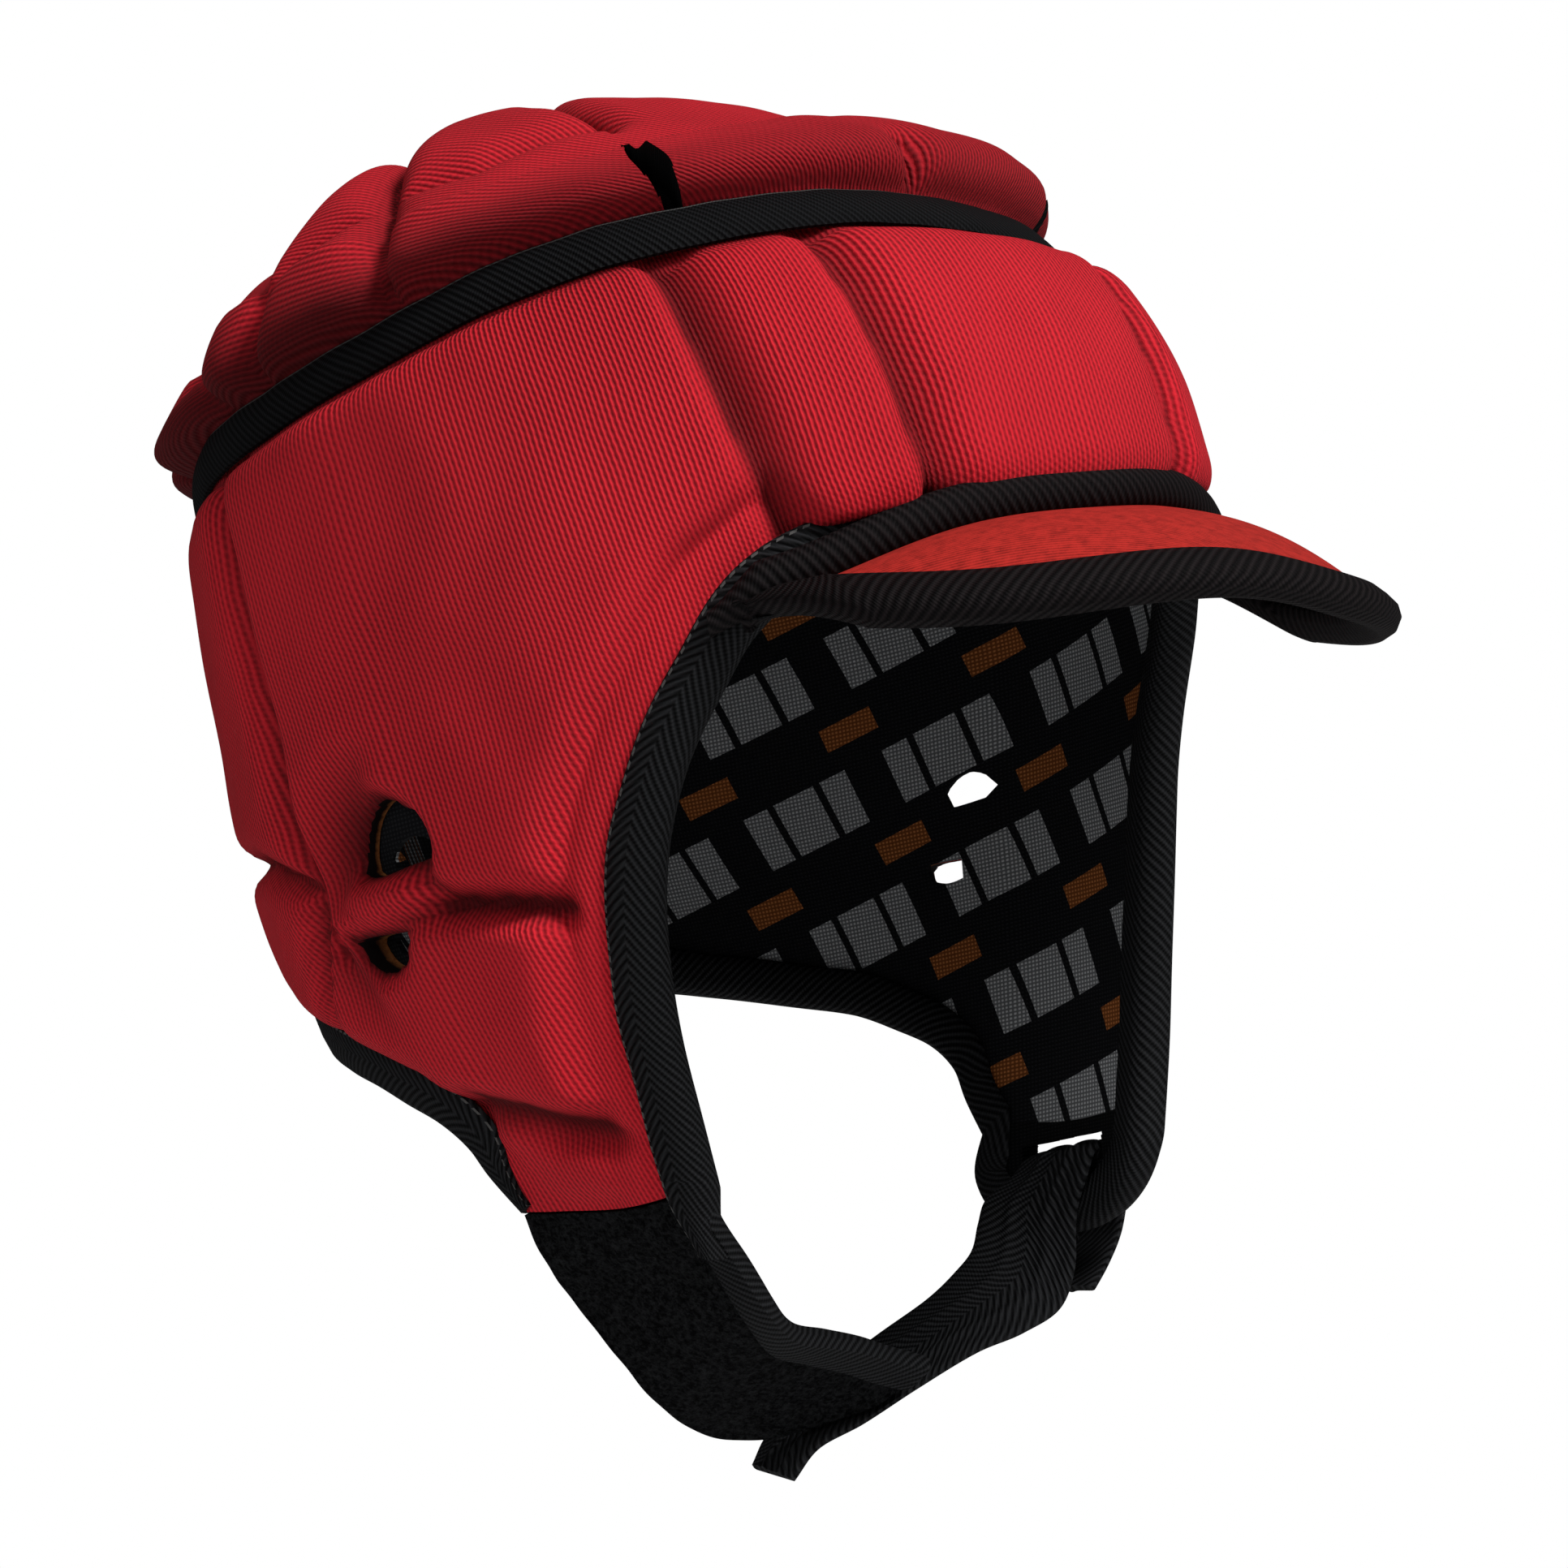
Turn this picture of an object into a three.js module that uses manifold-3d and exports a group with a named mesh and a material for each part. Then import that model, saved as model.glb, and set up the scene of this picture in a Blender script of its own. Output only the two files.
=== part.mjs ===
// Soft shell surf helmet: a padded cloth cap with ear flaps, a short visor and a chin strap.
// Millimetres, +Z up, +X to the wearer's left, the face towards -Y.
// The origin is the top of the lining, where the wearer's head carries the helmet.

import * as THREE from 'three';
import { mergeVertices } from 'three/addons/utils/BufferGeometryUtils.js';
import Module from 'manifold-3d';

const wasm = await Module();
wasm.setup();

// Head hollow: half sizes at its widest level, which is z = 0 while the pieces are made
const HEAD = {
  halfWidth: 78, front: 94, back: 98, crown: 84,
  apexShift: 15, shiftPower: 1.5, planPower: 2.2, domePower: 2.25,
};

// How the hollow narrows below its widest level, as shares of the half sizes
const TAPER = [
  { depth: 0, width: 1.0, front: 1.0, back: 1.0 },
  { depth: 30, width: 0.99, front: 1.0, back: 0.985 },
  { depth: 60, width: 0.95, front: 0.99, back: 0.89 },
  { depth: 90, width: 0.87, front: 0.98, back: 0.82 },
  { depth: 120, width: 0.77, front: 0.96, back: 0.78 },
  { depth: 150, width: 0.66, front: 0.93, back: 0.76 },
];

// Cloth layers, as distances out from the head hollow
const LAYER = {
  lining: 1.2, padInside: 1.5, crownInside: 1.8, flange: 4.5, tapeInside: 5.4, tapeOutside: 6.6,
  pad: 11.5, lobe: 14.5,
};
const SEAM_GAP = 0.4;

// Seam ring between the wall and the crown: its lower tape edge, tilted up to the front
const RING = { height: 33.2, tilt: 11.8, tapeWidth: 8.4, seamAt: 4.0 };

// Edge of the wall on one side, from the brow round the ear flap to the nape:
// turn is in degrees from the front, rise in millimetres from the widest level
const FACE_EDGE = [
  { turn: 0, rise: -10 }, { turn: 22, rise: -10.5 }, { turn: 38, rise: -12.5 }, { turn: 46, rise: -19 },
  { turn: 51, rise: -28 }, { turn: 55.5, rise: -38 }, { turn: 59, rise: -50 }, { turn: 61.5, rise: -62 },
  { turn: 63.5, rise: -76 }, { turn: 65, rise: -90 }, { turn: 66, rise: -104 }, { turn: 67, rise: -116 },
];
const TIP_EDGE = [{ turn: 67, rise: -116 }, { turn: 80, rise: -117 }, { turn: 94, rise: -114 }];
const NECK_EDGE = [
  { turn: 94, rise: -114 }, { turn: 97, rise: -106 }, { turn: 99, rise: -99 }, { turn: 103, rise: -93 },
  { turn: 109, rise: -88 }, { turn: 116, rise: -83 }, { turn: 126, rise: -78.5 }, { turn: 138, rise: -73.5 },
  { turn: 152, rise: -69 }, { turn: 180, rise: -66 },
];

// Columns of the wall's mesh: where each starts on the ring, and how many follow on its edge
const FAN = [
  { edge: FACE_EDGE, fromRow: 0, toRow: 2, fromTurn: 0, toTurn: 46, columns: 6 },
  { edge: FACE_EDGE, fromRow: 2, toRow: 11, fromTurn: 46, toTurn: 88, columns: 13 },
  { edge: TIP_EDGE, fromRow: 0, toRow: 2, fromTurn: 88, toTurn: 103, columns: 4 },
  { edge: NECK_EDGE, fromRow: 0, toRow: 9, fromTurn: 103, toTurn: 180, columns: 11 },
];
const WALL_ROWS = { ringDrops: [0.8, 3.5, 8], middle: [0.2, 0.4, 0.6, 0.8], edgeRises: [22, 17, 14, 8, 0] };
const LINING_ROWS = { ringDrops: [], middle: [0.3, 0.62], edgeRises: [22, 9, 0] };

// Where the padding starts to rise beside a bound edge, the flap's tip and the ring, and how far it rolls
const ROLL = { bound: 15.5, tip: 3, ring: 0.9, reach: 9 };
const MM_PER_DEGREE = 1.55;
// How much thinner the padding is at the back, and the turns where it thins
const BACK_THIN = { by: 3, turns: [105, 135] };

// Sewn channels in the wall's padding, each a line between two places
const WALL_GROOVES = [
  { from: [25, 44], to: [21, -2], reach: 7, depth: 3.5 },
  { from: [46, 44], to: [41, -1], reach: 7, depth: 4.5 },
  { from: [114, 28], to: [109, -40], reach: 7, depth: 6 },
  { from: [107, -46], to: [115, -72], reach: 7, depth: 6 },
  { from: [122, -38], to: [106, -48], reach: 6, depth: 5 },
  { from: [180, -38], to: [122, -38], reach: 6, depth: 5 },
  { from: [180, 18], to: [180, -60], reach: 7, depth: 5 },
  { from: [74, -60], to: [90, -56], reach: 5, depth: 5 },
  { from: [78, -101], to: [92, -92], reach: 5, depth: 4 },
];

// Ear vents, half-moon holes that run right through: centre of the straight side, and size
const EAR_VENTS = [
  { back: 13, rise: -45, width: 24, height: 13 },
  { back: 16, rise: -57.5, width: 14, height: -8 },
];

// Crown quilting seen from above: sewn lines on one side, as places across and behind the top
const CROWN_GROOVES = [
  { line: [[3, 4], [14.5, -17], [22, -35]], reach: 7, depth: 7 },
  { line: [[22, -35], [39, -58], [46, -77], [52, -100]], reach: 6, depth: 5 },
  { line: [[0, 27], [43, -3], [69, -23], [95, -40]], reach: 9, depth: 8.5 },
  { line: [[30, 36], [64, 10]], reach: 8, depth: 5 },
  { line: [[64, 10], [77, 21], [100, 29]], reach: 8, depth: 8 },
  { line: [[74, 19], [67, 28], [60, 37], [50, 50]], reach: 8, depth: 7 },
  { line: [[22, -35], [44, -24], [52, -8.5], [64, 10]], reach: 8, depth: 4.5 },
  { line: [[0, 60], [40, 62], [62, 70], [80, 80]], reach: 8, depth: 7 },
  { line: [[0, -76], [0, -115]], reach: 6, depth: 6 },
  { line: [[0, 27], [0, 110]], reach: 8, depth: 5 },
];
// Change of the lobes' thickness, by distance behind the top, and how far above the tape it starts
const CROWN_LEVEL = [
  { behind: -80, by: -4.5 }, { behind: -62, by: -6 }, { behind: -40, by: -3 }, { behind: -20, by: 0 },
  { behind: -5, by: 2 }, { behind: 8, by: 2 }, { behind: 20, by: -1.5 }, { behind: 45, by: -3 },
];
const LEVEL_START = [5, 20];
// How far the lobes bulge over the tape, and how much more at the front
const CROWN_LIP = { reach: 18, out: 2.5, frontOut: 4.5 };
const CROWN_COLUMNS = 48;
const CROWN_RING_STEPS = [0, 4.8];
const CROWN_ROWS = [0.07, 0.16, 0.28, 0.42, 0.56, 0.7, 0.85, 1];
const CROWN_LINING_ROWS = [0.3, 0.65, 1];
const VENT_SLITS = [
  { turn: 35, distance: 66, length: 34, width: 5 },
  { turn: 106, distance: 74, length: 16, width: 4 },
];

// Folded tape: how far its legs reach over the edge outside and inside
const BINDING = { outerLeg: 9, innerLeg: 7, thickness: 1.2 };

// Visor: its outline, which hangs lower on the left as soft cloth does, its root below the brow, its layers
const VISOR = {
  endX: 64, endY: -80, length: 70, rise: -33.8, endLift: 8, liftPower: 8,
  lean: 5.2, leanRate: 3, arch: 4.2, archPower: 0.6,
};
const VISOR_ROOT = { turn: 47, rise: -9.2, endDrop: 8.5, out: 7.8 };
const VISOR_MESH = { sweep: 77, columns: 24, rows: 3 };
const VISOR_PLY = { thickness: 1.6, gap: 0.3, rimLeg: 8.5, rimGap: 0.6, rimFade: 10, rimThickness: 1.1 };
const SEAM_TAPE = { bottom: -6.6, top: 0.1, inside: 6.8, outside: 11.2, bulge: 1.1, sweep: 84 };

// Chin tab below the right flap: its front and back edges, from the flap to its tip
const TAB_THICKNESS = 2.4;
const TAB_MESH = { rows: 15, columns: 6 };
const TAB_START = { frontTurn: -68, backTurn: -92.5, rises: [-117.6, -121] };
const TAB_EDGES = [
  { front: [-51.5, -32.5, -129.5], back: [-55.5, 12.6, -129.5] },
  { front: [-44, -26.5, -139.5], back: [-47.5, 12.8, -143.5] },
  { front: [-34, -19.6, -145.8], back: [-39, 14, -153.8] },
  { front: [-23, -16.8, -148.4], back: [-28.5, 14.8, -161] },
  { front: [-13, -15.4, -151], back: [-18.5, 11, -164] },
  { front: [-4.5, -14.6, -154], back: [-9, 2, -163.5] },
  { front: [2.5, -15.8, -156.6], back: [-2.5, -7.2, -162.4] },
];
const TAB_BINDING = { leg: 6, gap: 0.3, thickness: 1.1 };

// Slotted end of the left flap: its outline below the flap, and the slot
const PATCH_EDGE = [
  { turn: 67, rise: -116.5 }, { turn: 68, rise: -123 }, { turn: 72, rise: -130 }, { turn: 78, rise: -134.5 },
  { turn: 85, rise: -135 }, { turn: 92, rise: -131 }, { turn: 95.5, rise: -123 }, { turn: 94, rise: -114.5 },
];
const PATCH = { inside: 0, outside: 4.5, columns: 14, rows: 4 };
// Stretches of that outline that the face and the neck tape go on round, in rows of the table
const PATCH_BOUND = { faceFrom: 0.4, faceTo: 3.9, faceSteps: 7, neckFrom: 4.1, neckTo: 6.7, neckSteps: 5 };
const SLOT = { centreX: 62, centreY: -15, rise: -121.8, length: 25, height: 4.2 };

// Chin strap: webbing edges from the free end, behind the tab, up to the slot and down again outside
const STRAP_THICKNESS = 1.6;
const STRAP_MESH = { rows: 36, columns: 2 };
const STRAP_EDGES = [
  { front: [-16.4, 6.2, -173.6], back: [-14.4, 18.6, -169.8] },
  { front: [-12.4, 2.1, -168.4], back: [-7.4, 20, -164.7] },
  { front: [-5.4, -3.8, -165.5], back: [2.6, 15.9, -157.2] },
  { front: [5.6, -9.4, -160.9], back: [15.6, 8.5, -150.1] },
  { front: [20.5, -12.9, -156.4], back: [28.5, 4.3, -144.7] },
  { front: [34, -13.9, -154.5], back: [35, 2.4, -141] },
  { front: [44, -15.8, -151.2], back: [40, 1, -137.5] },
  { front: [49, -17, -144.4], back: [45.5, 1.9, -132.4] },
  { front: [52.3, -18.5, -134.3], back: [50.3, 2, -128] },
  { front: [53.8, -23.5, -126.5], back: [55, -2.5, -124.6] },
  { front: [56, -25.8, -121.9], back: [58, -4.6, -121.9] },
  { front: [63.4, -25.8, -121.7], back: [66.2, -4.6, -121.7] },
  { front: [66.2, -25, -125.5], back: [68.6, -4, -125.5] },
  { front: [65.6, -21.5, -132], back: [67.8, -1, -131.7] },
  { front: [63.6, -18.5, -139], back: [65.3, 2, -138.5] },
  { front: [59, -17, -144.7], back: [60, 4, -142.7] },
  { front: [54.5, -16, -149], back: [53.5, 5, -145.7] },
];

// How the soft helmet has settled: the flaps hang back, the right one is drawn in at its front,
// both less so below their tips, and the seam ring sits higher on the right
const FLAPS = { back: 4.5, side: [15, 60], level: [-12, -55] };
const DRAWN_IN = { back: 6, side: [15, 50], level: [-10, -90], front: [0, -50] };
const BELOW_FLAPS = { cut: 0.8, level: [-118, -150] };
const RING_LIFT = [
  { turn: -180, by: 3 }, { turn: -150, by: 7 }, { turn: -130, by: 9 }, { turn: -112, by: 8 },
  { turn: -90, by: 8.5 }, { turn: -68, by: 9.5 }, { turn: -50, by: 9 }, { turn: -37, by: 7.5 },
  { turn: -18, by: 5.5 }, { turn: 0, by: 2.5 }, { turn: 15, by: 0 }, { turn: 40, by: -1 },
  { turn: 100, by: 0 }, { turn: 180, by: 3 },
];
const LIFT_LEVELS = { below: [0, 36], above: [84, 48] };

// How far the cutting shapes reach, and how many sides their curves have
const CUTTER = { earFrom: 50, earTo: 110, earSides: 8, slitHeight: 90, slitSides: 6, slotDepth: 40 };

const COLOURS = { red: 0xc22531, visorRed: 0xb8301f, black: 0x15161a, pile: 0x17191c, lining: 0x1b1c1f };

// Points nearer than this are one point
const MERGE = 1e-3;

const radians = THREE.MathUtils.degToRad;
const clamp = THREE.MathUtils.clamp;
const lerp = THREE.MathUtils.lerp;

function signedPower(value, power) {
  return Math.sign(value) * Math.abs(value) ** power;
}

// Smooth value of one column of a table between its rows
function tableValue(table, key, column, at) {
  const last = table.length - 1;
  let i = 0;
  while (i < last - 1 && at > table[i + 1][key]) i += 1;
  const slope = (a, b) => (table[b][column] - table[a][column]) / (table[b][key] - table[a][key]);
  const span = table[i + 1][key] - table[i][key];
  const t = clamp((at - table[i][key]) / span, 0, 1);
  const startSlope = i > 0 ? slope(i - 1, i + 1) : 0;
  const endSlope = i + 2 <= last ? slope(i, i + 2) : slope(i, i + 1);
  const a = table[i][column];
  const b = table[i + 1][column];
  const bend = (t ** 3 - 2 * t ** 2 + t) * startSlope * span + (t ** 3 - t ** 2) * endSlope * span;
  return a * (1 - 3 * t ** 2 + 2 * t ** 3) + b * (3 * t ** 2 - 2 * t ** 3) + bend;
}

// Point at a distance out from the head hollow
function onHead(turn, rise, out) {
  const up = clamp(rise / HEAD.crown, 0, 1);
  const narrow = (1 - up ** HEAD.domePower) ** (1 / HEAD.domePower);
  const depth = Math.max(-rise, 0);
  const side = Math.sin(radians(turn));
  const ahead = Math.cos(radians(turn));
  const end = ahead > 0 ? 'front' : 'back';
  const halfWidth = (HEAD.halfWidth * tableValue(TAPER, 'depth', 'width', depth) + out) * narrow;
  const halfLength = (HEAD[end] * tableValue(TAPER, 'depth', end, depth) + out) * narrow;
  const power = 2 / HEAD.planPower;
  return new THREE.Vector3(
    halfWidth * signedPower(side, power),
    HEAD.apexShift * up ** HEAD.shiftPower - halfLength * signedPower(ahead, power),
    rise > 0 ? up * (HEAD.crown + out) : rise,
  );
}

function ringRise(turn) {
  return RING.height + RING.tilt * Math.cos(radians(turn));
}

// Place on a smooth line through a table of turns and rises, counted in rows
function edgePlace(edge, row) {
  const curve = new THREE.CatmullRomCurve3(edge.map((p) => new THREE.Vector3(p.turn, p.rise, 0)));
  const point = curve.getPoint(row / (edge.length - 1));
  const ahead = curve.getTangent(row / (edge.length - 1));
  const flat = new THREE.Vector2(ahead.x * MM_PER_DEGREE, ahead.y).normalize();
  return { turn: point.x, rise: point.y, inTurn: -flat.y / MM_PER_DEGREE, inRise: flat.x };
}

function stations(edge, fromRow, toRow, count) {
  return Array.from({ length: count + 1 }, (_, i) => edgePlace(edge, lerp(fromRow, toRow, i / count)));
}

// Distance on the cloth from a place to a line between two places
function lineDistance(turn, rise, from, to) {
  const line = new THREE.Vector2((to[0] - from[0]) * MM_PER_DEGREE, to[1] - from[1]);
  const here = new THREE.Vector2((turn - from[0]) * MM_PER_DEGREE, rise - from[1]);
  const t = clamp(here.dot(line) / line.lengthSq(), 0, 1);
  return here.distanceTo(line.multiplyScalar(t));
}

function edgeDistance(turn, rise, edge) {
  let nearest = Infinity;
  for (let i = 0; i + 1 < edge.length; i += 1) {
    const from = [edge[i].turn, edge[i].rise];
    const to = [edge[i + 1].turn, edge[i + 1].rise];
    nearest = Math.min(nearest, lineDistance(turn, rise, from, to));
  }
  return nearest;
}

// Rounded rise of padding beside a seam, from 0 at the seam to 1
function roll(distance, reach) {
  return Math.sqrt(1 - (1 - clamp(distance / reach, 0, 1)) ** 2);
}

// Smooth step from 0 to 1 between two values
function ease(value, [from, to]) {
  return THREE.MathUtils.smoothstep((value - from) / (to - from), 0, 1);
}

function wallThickness(turn, rise) {
  const side = Math.abs(turn);
  const taped = Math.min(edgeDistance(side, rise, FACE_EDGE), edgeDistance(side, rise, NECK_EDGE));
  const bound = taped - ROLL.bound;
  const tip = edgeDistance(side, rise, TIP_EDGE) - ROLL.tip;
  const ring = ringRise(side) - rise - ROLL.ring;
  const swell = roll(Math.min(bound, tip, ring), ROLL.reach);
  let dent = 0;
  for (const groove of WALL_GROOVES) {
    const fall = 1 - roll(lineDistance(side, rise, groove.from, groove.to), groove.reach);
    dent = Math.max(dent, fall * groove.depth);
  }
  const pad = LAYER.pad - BACK_THIN.by * ease(side, BACK_THIN.turns);
  return LAYER.flange + Math.max(0, (pad - LAYER.flange) * swell - dent);
}

// Closed body from triangles given as loose points
function bodyFrom(triangles) {
  const flat = [];
  for (const [a, b, c] of triangles) {
    const thin = Math.min(a.distanceTo(b), b.distanceTo(c), c.distanceTo(a)) < MERGE;
    if (!thin) flat.push(...a.toArray(), ...b.toArray(), ...c.toArray());
  }
  const loose = new THREE.BufferGeometry();
  loose.setAttribute('position', new THREE.Float32BufferAttribute(flat, 3));
  const body = mergeVertices(loose, MERGE);
  return volume(body) < 0 ? turnedOver(body) : body;
}

function volume(body) {
  const at = body.getAttribute('position');
  const index = body.getIndex().array;
  const corner = (i) => new THREE.Vector3().fromBufferAttribute(at, index[i]);
  let sum = 0;
  for (let i = 0; i < index.length; i += 3) sum += corner(i).dot(corner(i + 1).cross(corner(i + 2)));
  return sum;
}

function turnedOver(body) {
  const index = Array.from(body.getIndex().array);
  for (let i = 0; i < index.length; i += 3) [index[i + 1], index[i + 2]] = [index[i + 2], index[i + 1]];
  body.setIndex(index);
  return body;
}

function quad(triangles, a, b, c, d) {
  triangles.push([a, b, c], [a, c, d]);
}

// Closed wall between two sheets of points, given as rows that go all the way round
function roundWall(outer, inner) {
  const triangles = [];
  const columns = outer[0].length;
  const sheet = (rows, flip) => {
    for (let r = 0; r + 1 < rows.length; r += 1) {
      for (let j = 0; j < columns; j += 1) {
        const k = (j + 1) % columns;
        const [a, b, c, d] = [rows[r][j], rows[r + 1][j], rows[r + 1][k], rows[r][k]];
        if (flip) quad(triangles, a, d, c, b);
        else quad(triangles, a, b, c, d);
      }
    }
  };
  sheet(outer, false);
  sheet(inner, true);
  sheet([inner[0], outer[0]], false);
  sheet([outer.at(-1), inner.at(-1)], false);
  return bodyFrom(triangles);
}

// Closed plate between two equal sheets of points
function plate(outer, inner) {
  const triangles = [];
  const rows = outer.length - 1;
  const columns = outer[0].length - 1;
  for (let r = 0; r < rows; r += 1) {
    for (let j = 0; j < columns; j += 1) {
      quad(triangles, outer[r][j], outer[r + 1][j], outer[r + 1][j + 1], outer[r][j + 1]);
      quad(triangles, inner[r][j], inner[r][j + 1], inner[r + 1][j + 1], inner[r + 1][j]);
    }
    quad(triangles, inner[r][0], inner[r + 1][0], outer[r + 1][0], outer[r][0]);
    quad(triangles, outer[r][columns], outer[r + 1][columns], inner[r + 1][columns], inner[r][columns]);
  }
  for (let j = 0; j < columns; j += 1) {
    quad(triangles, outer[0][j], outer[0][j + 1], inner[0][j + 1], inner[0][j]);
    quad(triangles, inner[rows][j], inner[rows][j + 1], outer[rows][j + 1], outer[rows][j]);
  }
  return bodyFrom(triangles);
}

// Closed strip: one section of points for each station, with fans on its two ends
function strip(sections) {
  const triangles = [];
  const sides = sections[0].length;
  for (let i = 0; i + 1 < sections.length; i += 1) {
    for (let s = 0; s < sides; s += 1) {
      const t = (s + 1) % sides;
      quad(triangles, sections[i][s], sections[i + 1][s], sections[i + 1][t], sections[i][t]);
    }
  }
  const shape = THREE.ShapeUtils.triangulateShape(flatSection(sections[0]), []);
  for (const [a, b, c] of shape) {
    triangles.push([sections[0][a], sections[0][b], sections[0][c]]);
    const end = sections.at(-1);
    triangles.push([end[c], end[b], end[a]]);
  }
  return bodyFrom(triangles);
}

// A section seen square on, so that its end can be filled
function flatSection(section) {
  const normal = new THREE.Vector3();
  for (let i = 0; i < section.length; i += 1) {
    const a = section[i].clone().sub(section[0]);
    const b = section[(i + 1) % section.length].clone().sub(section[0]);
    normal.add(a.cross(b));
  }
  const across = section[1].clone().sub(section[0]).normalize();
  const up = normal.normalize().clone().cross(across);
  return section.map((point) => {
    const reach = point.clone().sub(section[0]);
    return new THREE.Vector2(reach.dot(across), reach.dot(up));
  });
}

function solidOf(body) {
  const vertProperties = new Float32Array(body.getAttribute('position').array);
  const triVerts = new Uint32Array(body.getIndex().array);
  return new wasm.Manifold(new wasm.Mesh({ numProp: 3, vertProperties, triVerts }));
}

function cutBy(body, cutters) {
  let solid = solidOf(body);
  for (const cutter of cutters) {
    const plain = cutter.clone();
    plain.deleteAttribute('normal');
    plain.deleteAttribute('uv');
    solid = solid.subtract(solidOf(mergeVertices(plain, MERGE)));
  }
  const mesh = solid.getMesh();
  const result = new THREE.BufferGeometry();
  result.setAttribute('position', new THREE.Float32BufferAttribute(Array.from(mesh.vertProperties), 3));
  result.setIndex(Array.from(mesh.triVerts));
  return result;
}

// Columns of the wall, from the ring to the edge, once round from the nape by the right side
function wallColumns() {
  const half = [];
  for (const part of FAN) {
    const places = stations(part.edge, part.fromRow, part.toRow, part.columns);
    places.slice(0, -1).forEach((place, i) => {
      const ring = lerp(part.fromTurn, part.toTurn, i / part.columns);
      half.push({ ring, turn: place.turn, rise: place.rise });
    });
  }
  const nape = { ring: 180, turn: 180, rise: NECK_EDGE.at(-1).rise };
  const right = half.slice(1).reverse().map((c) => ({ ring: -c.ring, turn: -c.turn, rise: c.rise }));
  return [...right, ...half, nape];
}

function wallRows(columns, rows, out) {
  const top = RING.seamAt;
  const drops = [-top, ...rows.ringDrops];
  const placeAt = (column, share) => ({
    turn: lerp(column.ring, column.turn, share),
    rise: lerp(ringRise(column.ring) + top, column.rise, share),
  });
  const point = (column, share) => {
    const place = placeAt(column, share);
    return onHead(place.turn, place.rise, out(place.turn, place.rise));
  };
  const grid = [];
  const length = (column) => ringRise(column.ring) + top - column.rise;
  for (const drop of drops) grid.push(columns.map((c) => point(c, (drop + top) / length(c))));
  const start = (c) => (drops.at(-1) + top) / length(c);
  const end = (c) => 1 - rows.edgeRises[0] / length(c);
  for (const share of rows.middle) grid.push(columns.map((c) => point(c, lerp(start(c), end(c), share))));
  for (const rise of rows.edgeRises) grid.push(columns.map((c) => point(c, 1 - rise / length(c))));
  return grid;
}

function earVentCutters() {
  const cutters = [];
  for (const vent of EAR_VENTS) {
    const shape = new THREE.Shape();
    shape.moveTo(-vent.width / 2, 0);
    shape.absellipse(0, 0, vent.width / 2, Math.abs(vent.height), Math.PI, 0, vent.height > 0);
    const { earFrom, earTo, earSides } = CUTTER;
    const through = { depth: earTo - earFrom, bevelEnabled: false, curveSegments: earSides };
    for (const start of [earFrom, -earTo]) {
      const cutter = new THREE.ExtrudeGeometry(shape, through);
      cutter.rotateX(Math.PI / 2);
      cutter.rotateZ(Math.PI / 2);
      cutter.translate(start, vent.back, vent.rise);
      cutters.push(cutter);
    }
  }
  return cutters;
}

function shellPad() {
  const columns = wallColumns();
  const outer = wallRows(columns, WALL_ROWS, wallThickness);
  const inner = wallRows(columns, LINING_ROWS, () => LAYER.padInside);
  return cutBy(roundWall(outer, inner), earVentCutters());
}

function shellLining() {
  const columns = wallColumns();
  const outer = wallRows(columns, LINING_ROWS, () => LAYER.lining);
  const inner = wallRows(columns, LINING_ROWS, () => 0);
  return cutBy(roundWall(outer, inner), earVentCutters());
}

// Distance seen from above between a point and a sewn line
function sewnDistance(x, y, line) {
  let nearest = Infinity;
  for (let i = 0; i + 1 < line.length; i += 1) {
    const from = new THREE.Vector2(...line[i]);
    const piece = new THREE.Vector2(...line[i + 1]).sub(from);
    const here = new THREE.Vector2(x, y).sub(from);
    const t = clamp(here.dot(piece) / piece.lengthSq(), 0, 1);
    nearest = Math.min(nearest, here.distanceTo(piece.multiplyScalar(t)));
  }
  return nearest;
}

function crownThickness(turn, rise) {
  const flat = onHead(turn, rise, 0);
  const x = Math.abs(flat.x);
  const y = flat.y - HEAD.apexShift;
  const ring = rise - ringRise(turn) - RING.tapeWidth - ROLL.ring;
  const swell = roll(ring, ROLL.reach);
  let dent = 0;
  for (const { line, reach, depth } of CROWN_GROOVES) {
    dent = Math.max(dent, (1 - roll(sewnDistance(x, y, line), reach)) * depth);
  }
  const ahead = Math.max(0, Math.cos(radians(turn)));
  const over = Math.sin(Math.PI * clamp(ring / CROWN_LIP.reach, 0, 1));
  const bulge = (CROWN_LIP.out + CROWN_LIP.frontOut * ahead) * over;
  const behind = clamp(y, CROWN_LEVEL[0].behind, CROWN_LEVEL.at(-1).behind);
  const level = tableValue(CROWN_LEVEL, 'behind', 'by', behind) * ease(ring, LEVEL_START);
  const full = (LAYER.lobe + level - LAYER.flange) * swell + bulge;
  return LAYER.flange + Math.max(0, full - dent);
}

// Rows of the crown from the ring to the top, by equal steps of angle
function crownRows(shares, ringSteps, out) {
  const grid = [];
  const turns = Array.from({ length: CROWN_COLUMNS }, (_, j) => -180 + (360 * j) / CROWN_COLUMNS);
  const ringStart = (turn) => ringRise(turn) + RING.seamAt + SEAM_GAP;
  const angle = (rise) => Math.acos((rise / HEAD.crown) ** (HEAD.domePower / 2));
  const riseAt = (turn, share) => {
    const start = angle(ringStart(turn) + ringSteps.at(-1));
    return HEAD.crown * Math.cos(start * (1 - share)) ** (2 / HEAD.domePower);
  };
  for (const step of ringSteps) {
    grid.push(turns.map((turn) => onHead(turn, ringStart(turn) + step, out(turn, ringStart(turn) + step))));
  }
  for (const share of shares) {
    grid.push(turns.map((turn) => onHead(turn, riseAt(turn, share), out(turn, riseAt(turn, share)))));
  }
  return grid;
}

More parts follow.
